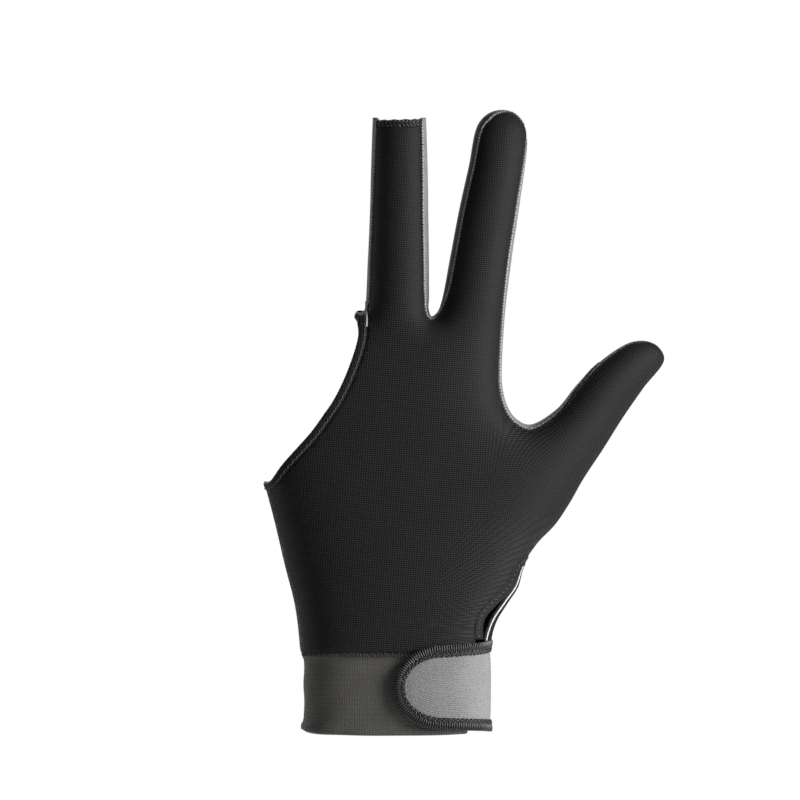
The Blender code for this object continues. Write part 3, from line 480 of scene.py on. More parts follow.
class Skin:
    """Rounded surface of the glove on the hand, lifted from its outline."""

    def __init__(self, outline: Outline, step: float = 0.0018) -> None:
        """Mesh the outline and work out the depth of the form.

        Args:
            outline: the outline of the hand form.
            step: spacing of the points that carry the depth.
        """
        rim = outline.polygon
        rim_tree = point_tree(rim)
        rows = []
        for depth, spacing in ((0.0005, 0.0009), (0.0012, 0.0013), (0.0021, 0.0016), (0.0033, step)):
            places = np.arange(0.0, outline.total, spacing)
            row = outline.point(places) + outline.inward(places) * depth
            row = row[inside(row, rim)]
            rows.append(row[nearest(rim_tree, row) > 0.93 * depth])
        grid = hex_grid(rim.min(axis=0), rim.max(axis=0), step)
        grid = grid[inside(grid, rim)]
        grid = grid[nearest(rim_tree, grid) > 0.0043]
        self.nodes, self.tris = triangulate(np.vstack([rim, *rows, grid]), rim)
        self._solve((2 * SIZES.side_radius / SIZES.palm_half_depth ** 2) ** 2)
        flat = [(x, z, 0.0) for x, z in self.nodes]
        self.tree = BVHTree.FromPolygons(flat, [tuple(int(i) for i in t) for t in self.tris])

    def _solve(self, level: float) -> None:
        """Solve for the squared half depth, zero along the rim and level inside."""
        p = self.nodes[self.tris]
        first, second = p[:, 1] - p[:, 0], p[:, 2] - p[:, 0]
        area = 0.5 * (first[:, 0] * second[:, 1] - first[:, 1] * second[:, 0])
        opposite = np.stack([p[:, 2] - p[:, 1], p[:, 0] - p[:, 2], p[:, 1] - p[:, 0]], axis=1)
        slopes = np.stack([-opposite[..., 1], opposite[..., 0]], axis=2) / (2 * area)[:, None, None]
        count = len(self.nodes)
        rows = np.repeat(self.tris[:, :, None], 3, axis=2).reshape(-1)
        columns = np.repeat(self.tris[:, None, :], 3, axis=1).reshape(-1)
        values = (area[:, None, None] * np.einsum("tid,tjd->tij", slopes, slopes)).reshape(-1)
        mass = np.bincount(self.tris.reshape(-1), np.repeat(area / 3, 3), count)
        edges = np.sort(np.vstack([self.tris[:, [0, 1]], self.tris[:, [1, 2]], self.tris[:, [2, 0]]]), axis=1)
        pairs, uses = np.unique(edges, axis=0, return_counts=True)
        free = np.ones(count)
        free[np.unique(pairs[uses == 1])] = 0.0

        def apply(x: Array) -> Array:
            """Left side of the equation on free points."""
            return free * (np.bincount(rows, values * x[columns], count) + level * mass * x)

        same = rows == columns
        scale = 1.0 / (np.bincount(rows[same], values[same], count) + level * mass)
        squared = np.zeros(count)
        rest = free * level * SIZES.palm_half_depth ** 2 * mass
        step = scale * rest
        energy = rest @ step
        for _ in range(500):
            pushed = apply(step)
            move = energy / (step @ pushed)
            squared += move * step
            rest = rest - move * pushed
            ready = scale * rest
            fresh = rest @ ready
            if fresh < 1e-22:
                break
            step = ready + (fresh / energy) * step
            energy = fresh
        ups, shares = np.array(DEPTHS).T
        spread = np.linspace(-0.06, 0.06, 9)[None, :]
        depth = np.interp(self.nodes[:, 1:] / SIZES.glove_height + spread, ups, shares).mean(axis=1)
        self.squared = squared * depth ** 2
        slope = np.einsum("tij,ti->tj", slopes, self.squared[self.tris])
        weight = np.bincount(self.tris.reshape(-1), np.repeat(area, 3), count)
        self.slopes = np.stack([
            np.bincount(self.tris.reshape(-1), np.repeat(slope[:, k] * area, 3), count)
            / np.maximum(weight, 1e-18) for k in (0, 1)], axis=1)

    @staticmethod
    def centre(plan: Array) -> Array:
        """Depth of the middle surface: arched across, fingers curled to the palm."""
        x, z = plan[..., 0], plan[..., 1]
        reach = SIZES.glove_height - SIZES.knuckle_height
        curl = np.clip((z - SIZES.knuckle_height) / reach, 0.0, 1.2)
        arch = SIZES.palm_arch * (x / 0.040) ** 2 * smooth((z - 0.010) / 0.055)
        return arch + SIZES.finger_curl * curl ** 2

    def lift(self, plan: Array, side: Array | float, least: float = 0.0001) -> tuple[Array, Array]:
        """Lift plan points to the skin.

        Args:
            plan: plan points.
            side: -1 for the back and 1 for the palm, one value or one for each point.
            least: smallest half depth, so that the two sides stay apart at the rim.

        Returns:
            Points on the skin and the outward directions there.
        """
        plan = np.asarray(plan, dtype=float).reshape(-1, 2)
        side = np.broadcast_to(side, len(plan)).astype(float)
        squared, slope, spots = np.zeros(len(plan)), np.zeros((len(plan), 2)), plan.copy()
        for i, (x, z) in enumerate(plan):
            spot, _, face, _ = self.tree.find_nearest((x, z, 0.0))
            corner = self.tris[face]
            pa, pb, pc = self.nodes[corner]
            hx, hz = spot[0], spot[1]
            whole = (pb[0] - pa[0]) * (pc[1] - pa[1]) - (pb[1] - pa[1]) * (pc[0] - pa[0])
            wb = ((hx - pa[0]) * (pc[1] - pa[1]) - (hz - pa[1]) * (pc[0] - pa[0])) / whole
            wc = ((pb[0] - pa[0]) * (hz - pa[1]) - (pb[1] - pa[1]) * (hx - pa[0])) / whole
            weights = smooth(np.array([1 - wb - wc, wb, wc]))
            weights = weights / weights.sum()
            local = self.slopes[corner]
            away = np.array([hx, hz]) - self.nodes[corner]
            squared[i] = weights @ (self.squared[corner] + np.sum(local * away, axis=1))
            slope[i] = weights @ local
            spots[i] = (hx, hz)
        depth = side * np.maximum(np.sqrt(np.maximum(squared, 0.0)), least)
        step = 1e-5
        tilt_x = (self.centre(spots + [step, 0]) - self.centre(spots - [step, 0])) / (2 * step)
        tilt_z = (self.centre(spots + [0, step]) - self.centre(spots - [0, step])) / (2 * step)
        points = np.stack([spots[:, 0], self.centre(spots) + depth, spots[:, 1]], axis=1)
        normal = np.stack([-2 * depth * tilt_x - slope[:, 0], 2 * depth,
                           -2 * depth * tilt_z - slope[:, 1]], axis=1)
        return points, normal / np.linalg.norm(normal, axis=1)[:, None]


@dataclass
class WristLane:
    """Developed lane round the wrist that the band and the strap lie on."""

    outline: Outline
    skin: Skin
    strap_middle: float = 0.0142
    tab_end: float = -0.0003
    tab_half_height: float = 0.0132
    tab_length: float = 0.0152
    strap_length: float = 0.0750
    strap_flare: float = 0.0018

    def __post_init__(self) -> None:
        """Tabulate both sides of the form and the run round the wrist."""
        self.edges = []
        for low, high in (("wrist_low_left", "wrist_seam_left"),
                          ("wrist_seam_right", "wrist_low_right")):
            places = np.linspace(self.outline.marks[low] - 0.004, self.outline.marks[high] + 0.004, 300)
            points = self.outline.point(places)
            points = points[(points[:, 1] > -0.0149) & (points[:, 1] < 0.034)]
            points = points[np.argsort(points[:, 1])]
            self.edges.append(points)
        self.turns = np.radians(np.arange(112.0, -200.0, -2.0))
        ring, _ = self.ring(self.turns, np.full(len(self.turns), self.strap_middle))
        lengths = arc_lengths(ring)
        self.runs = lengths - np.interp(math.pi / 2, self.turns[::-1], lengths[::-1])
        self.side_run = float(np.interp(0.0, self.turns[::-1], self.runs[::-1]))

    @property
    def tab_middle(self) -> float:
        """Run where the rounded part of the tab starts."""
        return self.tab_end + self.tab_length

    def sides_at(self, height: Array) -> tuple[Array, Array]:
        """Left and right x of the form at heights near the wrist."""
        left, right = (np.interp(height, e[:, 1], e[:, 0]) for e in self.edges)
        return left, right

    def ring(self, turns: Array, heights: Array) -> tuple[Array, Array]:
        """Skin points round the wrist.

        Args:
            turns: angles, 90 degrees at the back and 0 on the thumb side.
            heights: heights of the points.

        Returns:
            Points and outward directions.
        """
        left, right = self.sides_at(heights)
        x = (left + right) / 2 + (right - left) / 2 * np.cos(turns)
        side = np.where(np.sin(turns) >= 0, -1.0, 1.0)
        return self.skin.lift(np.stack([x, heights], axis=1), side, 0.0)

    def lane(self, runs: Array, heights: Array) -> tuple[Array, Array]:
        """Skin points on the strap's lane, by their run from the middle of the back."""
        return self.ring(np.interp(runs, self.runs, self.turns), heights)

    def limits(self, run: float) -> tuple[float, float]:
        """Lower and upper edge of the strap at a run."""
        if run < self.tab_middle:
            share = min(1.0, (self.tab_middle - run) / self.tab_length)
            half = self.tab_half_height * math.sqrt(max(0.0, 1 - share ** 2))
            return self.strap_middle - half, self.strap_middle + half
        share = min(1.0, (run - self.tab_middle) / (self.side_run - self.tab_middle))
        return (self.strap_middle - self.tab_half_height - self.strap_flare * 0.6 * share,
                self.strap_middle + self.tab_half_height + self.strap_flare * share)

    @staticmethod
    def base(runs: Array) -> Array:
        """Height of the strap's inner face over the skin: the tab lies on the pad."""
        return -0.0001 - 0.00065 * smooth((runs - 0.022) / 0.014)

    def seam(self, side: Side, drop: float) -> Array:
        """Lower edge of the knit from the thumb side to the little-finger side.

        Args:
            side: the face of the glove.
            drop: how far the knit hangs over the band where the strap leaves it free.

        Returns:
            The plan line.
        """
        rows = []
        for turn in np.radians(np.arange(-4.0, 186.0, 1.0)):
            angle = turn if side is Side.BACK else -turn
            run = float(np.interp(angle, self.turns[::-1], self.runs[::-1]))
            height = SIZES.seam_height - drop
            end = self.tab_end + self.strap_length
            if run < end + 0.008:
                clear = self.limits(max(run, 0.0))[1] - 0.0010
                fade = min(1.0, max(0.0, (end + 0.008 - run) / 0.004))
                height = max(height, height + (clear - height) * fade)
            left, right = self.sides_at(height)
            rows.append(((left + right) / 2 + (right - left) / 2 * 1.012 * math.cos(turn), height))
        rows[0] = (rows[0][0] + 0.003, rows[0][1])
        rows[-1] = (rows[-1][0] - 0.003, rows[-1][1])
        return np.array(rows)


@dataclass
class HandForm:
    """Shared form that every piece is laid on."""

    outline: Outline
    skin: Skin
    wrist: WristLane

    @classmethod
    def make(cls) -> "HandForm":
        """Work out the outline, the skin and the wrist lane."""
        outline = Outline()
        skin = Skin(outline)
        return cls(outline, skin, WristLane(outline, skin))

    def opening_path(self, distance: float) -> Array:
        """Edge of the opening, shifted into the cloth and wider beside the web."""
        path = rounded_path(OPENING_EDGE)
        share = np.linspace(0.0, 1.0, len(path))
        widen = 1.0 + 0.30 * np.clip(1 - share / 0.16, 0.0, 1.0)
        return offset_path(path, -distance * widen)

    @staticmethod
    def slit_path() -> Array:
        """Edge of the back panel along the slit, run out past the outline at its top."""
        edge = rounded_path(SLIT_EDGE)
        reach = np.linspace(0.0034, 0.0004, 8)[:, None]
        return np.vstack([edge[0] + np.array([0.74, 0.67]) * reach, edge])

    def tip_line(self, drop: float) -> Array:
        """Line across the open fingertip, some way below its edge."""
        left, right = plan_point(-0.150, 0.9815), plan_point(0.190, 0.9838)
        shares = np.linspace(0.0, 1.0, 60)[:, None]
        return left * (1 - shares) + right * shares - np.array([0.0, drop])

    def seam_path(self, places: Array, side: float, height: float, shift: float = 0.0) -> tuple[Array, Array]:
        """Space line along a panel seam.

        Args:
            places: arc positions.
            side: -1 for the back seam, 1 for the palm seam, 0 for the outline itself.
            height: height of the line over the skin.
            shift: distance from the seam into the panel.

        Returns:
            Points and outward directions.
        """
        inset = self.outline.seam_inset(places) + shift
        if side == 0.0:
            inset = np.zeros_like(inset)
        plan = self.outline.point(places) + self.outline.inward(places) * inset[:, None]
        points, normals = self.skin.lift(plan, side, 0.0)
        return points + normals * height, normals


# Mesh making


@dataclass
class ClothMesh:
    """Vertices and faces of a piece, with its maps."""

    verts: Array
    faces: list[tuple[int, ...]]
    maps: dict[str, Array] = field(default_factory=dict)
    shades: dict[str, Array] = field(default_factory=dict)

    def add_to_scene(self, name: str, material: bpy.types.Material) -> bpy.types.Object:
        """Make the object.

        Args:
            name: name of the piece.
            material: its finish.

        Returns:
            The new object, at the origin.
        """
        mesh = bpy.data.meshes.new(name)
        mesh.from_pydata([tuple(float(c) for c in v) for v in self.verts], [], self.faces)
        corner = np.zeros(len(mesh.loops), np.int32)
        mesh.loops.foreach_get("vertex_index", corner)
        for title, values in self.maps.items():
            layer = mesh.uv_layers.new(name=title)
            layer.data.foreach_set("uv", values[corner].astype(np.float32).ravel())
        for title, values in self.shades.items():
            shade = mesh.attributes.new(title, "FLOAT", "POINT")
            shade.data.foreach_set("value", values.astype(np.float32))
        mesh.polygons.foreach_set("use_smooth", np.ones(len(mesh.polygons), bool))
        work = bmesh.new()
        work.from_mesh(mesh)
        bmesh.ops.recalc_face_normals(work, faces=work.faces)
        work.to_mesh(mesh)
        work.free()
        mesh.materials.append(material)
        piece = bpy.data.objects.new(name, mesh)
        bpy.context.scene.collection.objects.link(piece)
        return piece

    @property
    def area(self) -> float:
        """Surface of one face of the cloth."""
        total = 0.0
        for face in self.faces:
            p = self.verts[list(face)]
            for i in range(1, len(p) - 1):
                total += 0.5 * float(np.linalg.norm(np.cross(p[i] - p[0], p[i + 1] - p[0])))
        return total / 2


def closed_sheet(points: Array, normals: Array, tris: Array, ring: int, thickness: float,
                 bulge: float = 0.3) -> tuple[Array, list[tuple[int, ...]], Array]:
    """Give a lifted triangle sheet its thickness and a rounded rim.

    Args:
        points: outer points, the ring's first and in order.
        normals: outward directions.
        tris: triangles of the sheet.
        ring: number of points on the ring.
        thickness: thickness of the cloth.
        bulge: how round the rim is, as a share of the thickness.

    Returns:
        Vertices, faces, and for each vertex the sheet point it comes from.
    """
    count = len(points)
    inner = points - normals * thickness
    edge = np.roll(points[:ring], -1, axis=0) - np.roll(points[:ring], 1, axis=0)
    out = np.cross(edge, normals[:ring])
    out /= np.maximum(np.linalg.norm(out, axis=1), 1e-12)[:, None]
    centre = points[ring:].mean(axis=0) if len(points) > ring else points.mean(axis=0)
    if np.sum((points[:ring] - centre) * out) < 0:
        out = -out
    middle = (points[:ring] + inner[:ring]) / 2 + out * thickness * bulge
    faces = [tuple(int(v) for v in t) for t in tris]
    faces += [(int(c) + count, int(b) + count, int(a) + count) for a, b, c in tris]
    for i in range(ring):
        j = (i + 1) % ring
        mi, mj = 2 * count + i, 2 * count + j
        faces += [(i, j, mj, mi), (mi, mj, j + count, i + count)]
    source = np.concatenate([np.arange(count), np.arange(count), np.arange(ring)])
    return np.vstack([points, inner, middle]), faces, source


def loft(sections: Array, runs: Array, across: Array, closed: bool = False) -> ClothMesh:
    """Skin closed cross-sections into a solid strip.

    Args:
        sections: stations by points by three, each section a closed ring.
        runs: running length at each station.
        across: running length round each section, stations by points.
        closed: whether the last station joins the first.

    Returns:
        The mesh, with its strip map in centimetres.
    """
    stations, size = sections.shape[:2]
    faces: list[tuple[int, ...]] = []
    for i in range(stations if closed else stations - 1):
        k = (i + 1) % stations
        for j in range(size):
            n = (j + 1) % size
            faces.append((i * size + j, k * size + j, k * size + n, i * size + n))
    if not closed:
        half = size // 2
        for i in (0, stations - 1):
            for j in range(half - 1):
                a, b = i * size + j, i * size + j + 1
                c, d = i * size + (size - 1 - j) % size, i * size + (size - 2 - j) % size
                corners = [a, b, d, c]
                unique = list(dict.fromkeys(corners))
                if len(unique) > 2:
                    faces.append(tuple(unique))
    spread = np.stack([np.broadcast_to(runs[:, None], (stations, size)), across], axis=2) * 100
    return ClothMesh(sections.reshape(-1, 3), faces, {"strip": spread.reshape(-1, 2)})


def ribbon(outer: Array, inner: Array, closed: bool = False, bulge: float = 0.3) -> ClothMesh:
    """Closed strip between an outer and an inner grid, with rounded long edges.

    Args:
        outer: stations by rows by three.
        inner: the same for the inner face.
        closed: whether the strip runs round a loop.
        bulge: how round the long edges are, as a share of the thickness.

    Returns:
        The mesh.
    """
    def rounded(row: int, beside: int) -> Array:
        """Extra point that rounds a long edge."""
        middle = (outer[:, row] + inner[:, row]) / 2
        away = outer[:, row] - outer[:, beside]
        away /= np.maximum(np.linalg.norm(away, axis=1), 1e-12)[:, None]
        thick = np.linalg.norm(outer[:, row] - inner[:, row], axis=1)[:, None]
        return (middle + away * thick * bulge)[:, None]

    sections = np.concatenate([outer, rounded(-1, -2), inner[:, ::-1], rounded(0, 1)], axis=1)
    sections = np.roll(sections, 1, axis=1)
    middle_row = outer[:, outer.shape[1] // 2]
    runs = arc_lengths(middle_row)
    steps = np.linalg.norm(np.diff(outer, axis=1), axis=2)
    widths = np.concatenate([np.zeros((len(outer), 1)), np.cumsum(steps, axis=1)], axis=1)
    across = np.concatenate([widths, widths[:, -1:], widths[:, ::-1], widths[:, :1]], axis=1)
    return loft(sections, runs, np.roll(across, 1, axis=1), closed)


def roll_of(path: Array, radius: Array | float, sides: int = 7, closed: bool = False) -> ClothMesh:
    """Round roll along a space line.

    Args:
        path: the line.
        radius: one radius or one for each point.
        sides: number of sides.
        closed: whether the line is a loop.

    Returns:
        The mesh.
    """
    run = np.roll(path, -1, axis=0) - np.roll(path, 1, axis=0) if closed else np.gradient(path, axis=0)
    run /= np.maximum(np.linalg.norm(run, axis=1), 1e-12)[:, None]
    up = np.cross(run, np.array([0.31, 0.87, 0.38]))
    up /= np.maximum(np.linalg.norm(up, axis=1), 1e-12)[:, None]
    aside = np.cross(run, up)
    turns = np.linspace(0, 2 * math.pi, sides, endpoint=False)
    radius = np.broadcast_to(radius, len(path))[:, None, None]
    sections = path[:, None] + radius * (np.cos(turns)[None, :, None] * up[:, None]
                                         + np.sin(turns)[None, :, None] * aside[:, None])
    across = np.broadcast_to(turns[None] * radius[:, :, 0], sections.shape[:2])
    return loft(sections, arc_lengths(path), across, closed)


# Finishes


class NodeBoard:
    """Small helper that lays out and wires the nodes of one material."""

    def __init__(self, name: str) -> None:
        """Start a material with one shader."""
        self.material = bpy.data.materials.new(name)
        self.material.use_nodes = True
        self.tree = self.material.node_tree
        self.shader = self.tree.nodes["Principled BSDF"]

    def add(self, kind: str, **settings: object) -> bpy.types.Node:
        """Add a node.

        Args:
            kind: type of the node, without its common prefix.
            settings: properties of the node; keys with a capital are its inputs.

        Returns:
            The node.
        """
        node = self.tree.nodes.new("ShaderNode" + kind)
        for key, value in settings.items():
            if key[0].isupper():
                node.inputs[key.replace("_", " ")].default_value = value
            else:
                setattr(node, key, value)
        return node

    def wire(self, out: bpy.types.NodeSocket, into: bpy.types.NodeSocket) -> None:
        """Join two sockets."""
        self.tree.links.new(out, into)

    def map_point(self, title: str) -> bpy.types.NodeSocket:
        """Coordinates of one of the piece's own maps, in centimetres."""
        return self.add("UVMap", uv_map=title).outputs["UV"]

    def place_point(self) -> bpy.types.NodeSocket:
        """Place in the piece's own space, in metres."""
        return self.add("TexCoord").outputs["Object"]

    def wave(self, point: bpy.types.NodeSocket, axis: str, pitch: float, bend: float = 0.0,
             detail: float = 1.0) -> bpy.types.NodeSocket:
        """Even ridges.

        Args:
            point: coordinates.
            axis: X or Y, across the ridges.
            pitch: spacing of the ridges, in the coordinates' unit.
            bend: how much the ridges wander.
            detail: scale of the wandering.

        Returns:
            The ridges, 0 to 1.
        """
        node = self.add("TexWave", wave_type="BANDS", bands_direction=axis, Scale=math.pi / 10 / pitch,
                        Distortion=bend, Detail=1.0, Detail_Scale=detail)
        self.wire(point, node.inputs["Vector"])
        return node.outputs["Fac"]

    def noise(self, point: bpy.types.NodeSocket, scale: float, detail: float = 2.0) -> bpy.types.NodeSocket:
        """Cloudy pattern, 0 to 1."""
        node = self.add("TexNoise", Scale=scale, Detail=detail)
        self.wire(point, node.inputs["Vector"])
        return node.outputs["Fac"]

    def sums(self, how: str, left: bpy.types.NodeSocket | float,
             right: bpy.types.NodeSocket | float) -> bpy.types.NodeSocket:
        """Arithmetic on two values.

        Args:
            how: name of the operation.
            left: first value.
            right: second value.

        Returns:
            The result.
        """
        node = self.add("Math", operation=how)
        for slot, value in enumerate((left, right)):
            if isinstance(value, (int, float)):
                node.inputs[slot].default_value = value
            else:
                self.wire(value, node.inputs[slot])
        return node.outputs["Value"]

    def blend(self, share: bpy.types.NodeSocket, low: tuple[float, ...],
              high: tuple[float, ...]) -> bpy.types.NodeSocket:
        """Colour between two, by a share."""
        node = self.add("Mix", data_type="RGBA")
        node.inputs[6].default_value = (*low, 1.0)
        node.inputs[7].default_value = (*high, 1.0)
        self.wire(share, node.inputs[0])
        return node.outputs[2]

    def relief(self, height: bpy.types.NodeSocket, depth: float, strength: float = 1.0) -> None:
        """Raise the surface by a height pattern.

        Args:
            height: the pattern, 0 to 1.
            depth: its depth in metres.
            strength: share of it that shows.
        """
        node = self.add("Bump", Strength=strength, Distance=depth)
        self.wire(height, node.inputs["Height"])
        self.wire(node.outputs["Normal"], self.shader.inputs["Normal"])

    def settle(self, roughness: float, sheen: float, sheen_roughness: float, gloss: float,
               tint: float = 1.0) -> bpy.types.Material:
        """Set the shader's even values.

        Args:
            roughness: roughness of the surface.
            sheen: weight of the sheen of loose fibres.
            sheen_roughness: how wide the sheen is.
            gloss: strength of the mirror part.
            tint: lightness of the sheen.

        Returns:
            The material.
        """
        self.shader.inputs["Roughness"].default_value = roughness
        self.shader.inputs["Sheen Weight"].default_value = sheen
        self.shader.inputs["Sheen Roughness"].default_value = sheen_roughness
        self.shader.inputs["Sheen Tint"].default_value = (tint, tint, tint, 1.0)
        self.shader.inputs["Specular IOR Level"].default_value = gloss
        return self.material


@dataclass(frozen=True)
class RibKnitFinish:
    """Black stretch knit with fine ribs, opened where the cloth is strained."""

    name: str = "black_rib_knit"
    map_name: str = "knit"
    dark: tuple[float, float, float] = (0.0010, 0.0010, 0.0012)
    light: tuple[float, float, float] = (0.0250, 0.0250, 0.0268)
    row_pitch: float = 0.066
    column_pitch: float = 0.078
    fold_pitch: float = 0.120

    def material(self) -> bpy.types.Material:
        """Make the finish."""
        board = NodeBoard(self.name)
        point = board.map_point(self.map_name)
        rows = board.wave(point, "Y", self.row_pitch, 0.5, 1.5)
        columns = board.wave(point, "X", self.column_pitch, 0.8, 1.5)
        grain = board.sums("MULTIPLY", rows, columns)
        pebble = board.sums("ADD", board.sums("MULTIPLY", rows, 0.30), board.sums("MULTIPLY", grain, 0.70))
        folds = board.wave(board.map_point("folds"), "Y", self.fold_pitch, 3.2, 0.9)
        strain = board.add("Attribute", attribute_name="strain").outputs["Fac"]
        cloud = board.noise(board.place_point(), 90.0, 3.0)
        pulled = board.sums("MULTIPLY", board.sums("MULTIPLY", folds, strain), cloud)
        fuzz = board.noise(board.place_point(), 2600.0, 1.0)
        tone = board.sums("ADD", board.sums("MULTIPLY", pebble, 1.05), board.sums("MULTIPLY", cloud, 0.14))
        tone = board.sums("ADD", tone, board.sums("MULTIPLY", pulled, 0.80))
        tone = board.sums("ADD", tone, board.sums("MULTIPLY", fuzz, 0.12))
        board.wire(board.blend(tone, self.dark, self.light), board.shader.inputs["Base Color"])
        height = board.sums("ADD", pebble, board.sums("MULTIPLY", pulled, 4.0))
        height = board.sums("ADD", height, board.sums("MULTIPLY", fuzz, 0.25))
        board.relief(height, 0.00019, 0.65)
        return board.settle(0.60, 0.02, 0.5, 0.15, 0.8)


@dataclass(frozen=True)
class MeshStripFinish:
    """Grey stretch cloth with fine threads along the strip; a vertex attribute darkens it as painted shade."""

    name: str = "grey_stretch_strip"
    dark: tuple[float, float, float] = (0.050, 0.048, 0.044)
    light: tuple[float, float, float] = (0.330, 0.325, 0.310)
    thread_pitch: float = 0.042

    def material(self) -> bpy.types.Material:
        """Make the finish."""
        board = NodeBoard(self.name)
        point = board.map_point("strip")
        threads = board.wave(point, "Y", self.thread_pitch, 1.2, 2.0)
        cross = board.wave(point, "X", self.thread_pitch * 1.4, 1.0, 2.0)
        weave = board.sums("ADD", board.sums("MULTIPLY", threads, 0.6), board.sums("MULTIPLY", cross, 0.25))
        cloud = board.noise(board.place_point(), 300.0, 3.0)
        tone = board.sums("ADD", board.sums("MULTIPLY", weave, 0.7), board.sums("MULTIPLY", cloud, 0.4))
        # Painted shade: a vertex attribute darkens the cloth where the strip faces away from the key light, in another
        # finger's shade.
        worn = board.add("Attribute", attribute_name="worn").outputs["Fac"]
        tone = board.sums("SUBTRACT", tone, worn)
        board.wire(board.blend(tone, self.dark, self.light), board.shader.inputs["Base Color"])
        board.relief(board.sums("ADD", weave, board.sums("MULTIPLY", cloud, 0.5)), 0.00015, 0.5)
        return board.settle(0.85, 0.15, 0.5, 0.15)


@dataclass(frozen=True)
class BrushedFinish:
    """Grey brushed stretch cloth with a soft nap."""

    name: str = "grey_brushed_band"
    dark: tuple[float, float, float] = (0.046, 0.0445, 0.042)
    light: tuple[float, float, float] = (0.112, 0.109, 0.103)
    rib_pitch: float = 0.068

    def material(self) -> bpy.types.Material:
        """Make the finish."""
        board = NodeBoard(self.name)
        point = board.map_point("strip")
        ribs = board.wave(point, "Y", self.rib_pitch, 1.5, 1.6)
        stripes = board.wave(point, "Y", self.rib_pitch * 2.3, 3.0, 0.8)
        wales = board.wave(point, "X", self.rib_pitch * 1.2, 2.0, 1.6)
        nap = board.noise(board.place_point(), 1500.0, 3.0)
        cloud = board.noise(board.place_point(), 140.0, 3.0)
        knit = board.sums("ADD", board.sums("MULTIPLY", ribs, 0.5), board.sums("MULTIPLY", wales, 0.35))
        knit = board.sums("ADD", knit, board.sums("MULTIPLY", stripes, 0.35))
        tone = board.sums("ADD", board.sums("MULTIPLY", nap, 0.45), board.sums("MULTIPLY", cloud, 0.30))
        tone = board.sums("ADD", tone, board.sums("MULTIPLY", knit, 0.28))
        board.wire(board.blend(tone, self.dark, self.light), board.shader.inputs["Base Color"])
        board.relief(board.sums("ADD", nap, board.sums("MULTIPLY", knit, 0.9)), 0.00026, 0.7)
        return board.settle(0.9, 0.20, 0.5, 0.15)


@dataclass(frozen=True)
class LoopClothFinish:
    """Light grey loop-faced cloth of the closing strap."""

    name: str = "grey_loop_cloth"
    dark: tuple[float, float, float] = (0.130, 0.130, 0.131)
    light: tuple[float, float, float] = (0.330, 0.330, 0.332)
    loop_pitch: float = 0.070

    def material(self) -> bpy.types.Material:
        """Make the finish."""
        board = NodeBoard(self.name)
        point = board.map_point("strip")
        rows = board.wave(point, "Y", self.loop_pitch, 3.0, 1.8)
        loops = board.noise(board.place_point(), 1900.0, 2.0)
        cloud = board.noise(board.place_point(), 160.0, 2.0)
        tone = board.sums("ADD", board.sums("MULTIPLY", loops, 0.60), board.sums("MULTIPLY", rows, 0.16))
        tone = board.sums("ADD", tone, board.sums("MULTIPLY", cloud, 0.24))
        board.wire(board.blend(tone, self.dark, self.light), board.shader.inputs["Base Color"])
        board.relief(board.sums("ADD", loops, board.sums("MULTIPLY", rows, 0.8)), 0.00028, 0.7)
        return board.settle(0.92, 0.3, 0.5, 0.15)


@dataclass(frozen=True)
class ThreadFinish:
    """Spun thread or a rolled cloth edge of one colour."""

    name: str
    dark: tuple[float, float, float]
    light: tuple[float, float, float]
    roughness: float = 0.6
    sheen: float = 0.15
    gloss: float = 0.35
    fibre: float = 2200.0

    def material(self) -> bpy.types.Material:
        """Make the finish."""
        board = NodeBoard(self.name)
        fibres = board.noise(board.place_point(), self.fibre, 2.0)
        cloud = board.noise(board.place_point(), 400.0, 2.0)
        tone = board.sums("ADD", board.sums("MULTIPLY", fibres, 0.6), board.sums("MULTIPLY", cloud, 0.4))
        board.wire(board.blend(tone, self.dark, self.light), board.shader.inputs["Base Color"])
        board.relief(fibres, 0.00012, 0.5)
        return board.settle(self.roughness, self.sheen, 0.5, self.gloss)


@dataclass(frozen=True)
class StudioFinish:
    """Plain pale floor."""

    name: str = "pale_floor"

    def material(self) -> bpy.types.Material:
        """Make the finish."""
        board = NodeBoard(self.name)
        cloud = board.noise(board.place_point(), 3.0, 1.0)
        board.wire(board.blend(cloud, (0.86, 0.86, 0.86), (0.90, 0.90, 0.90)), board.shader.inputs["Base Color"])
        return board.settle(0.9, 0.0, 0.5, 0.1)


@dataclass
class Finishes:
    """Materials that the pieces share."""

    knit: bpy.types.Material
    strip: bpy.types.Material
    band: bpy.types.Material
    loops: bpy.types.Material
    hem: bpy.types.Material
    black_thread: bpy.types.Material
    hem_thread: bpy.types.Material
    pick_thread: bpy.types.Material
    raw_edge: bpy.types.Material
    piping: bpy.types.Material
    edging: bpy.types.Material
    hooks: bpy.types.Material

    @classmethod
    def make(cls) -> "Finishes":
        """Make every finish once."""
        return cls(
            knit=RibKnitFinish().material(),
            strip=MeshStripFinish().material(),
            band=BrushedFinish().material(),
            loops=LoopClothFinish().material(),
            hem=RibKnitFinish("black_turned_hem", "strip").material(),
            black_thread=ThreadFinish("black_thread", (0.002, 0.002, 0.0024), (0.022, 0.022, 0.024), 0.5).material(),
            hem_thread=ThreadFinish("dark_hem_thread", (0.003, 0.003, 0.0035), (0.036, 0.036, 0.038), 0.36, 0.05, 0.7).material(),
            pick_thread=ThreadFinish("grey_pick_thread", (0.020, 0.020, 0.021), (0.140, 0.140, 0.142), 0.5).material(),
            raw_edge=ThreadFinish("pale_raw_edge", (0.20, 0.20, 0.19), (0.56, 0.55, 0.53), 0.8).material(),
            piping=ThreadFinish("pale_piping", (0.55, 0.55, 0.54), (0.82, 0.82, 0.80), 0.6).material(),
            edging=ThreadFinish("black_edging", (0.002, 0.002, 0.0022), (0.010, 0.010, 0.011), 0.7, 0.0, 0.2).material(),
            hooks=ThreadFinish("black_hook_tape", (0.010, 0.010, 0.011), (0.045, 0.045, 0.048), 0.45).material(),
        )


# Stitches


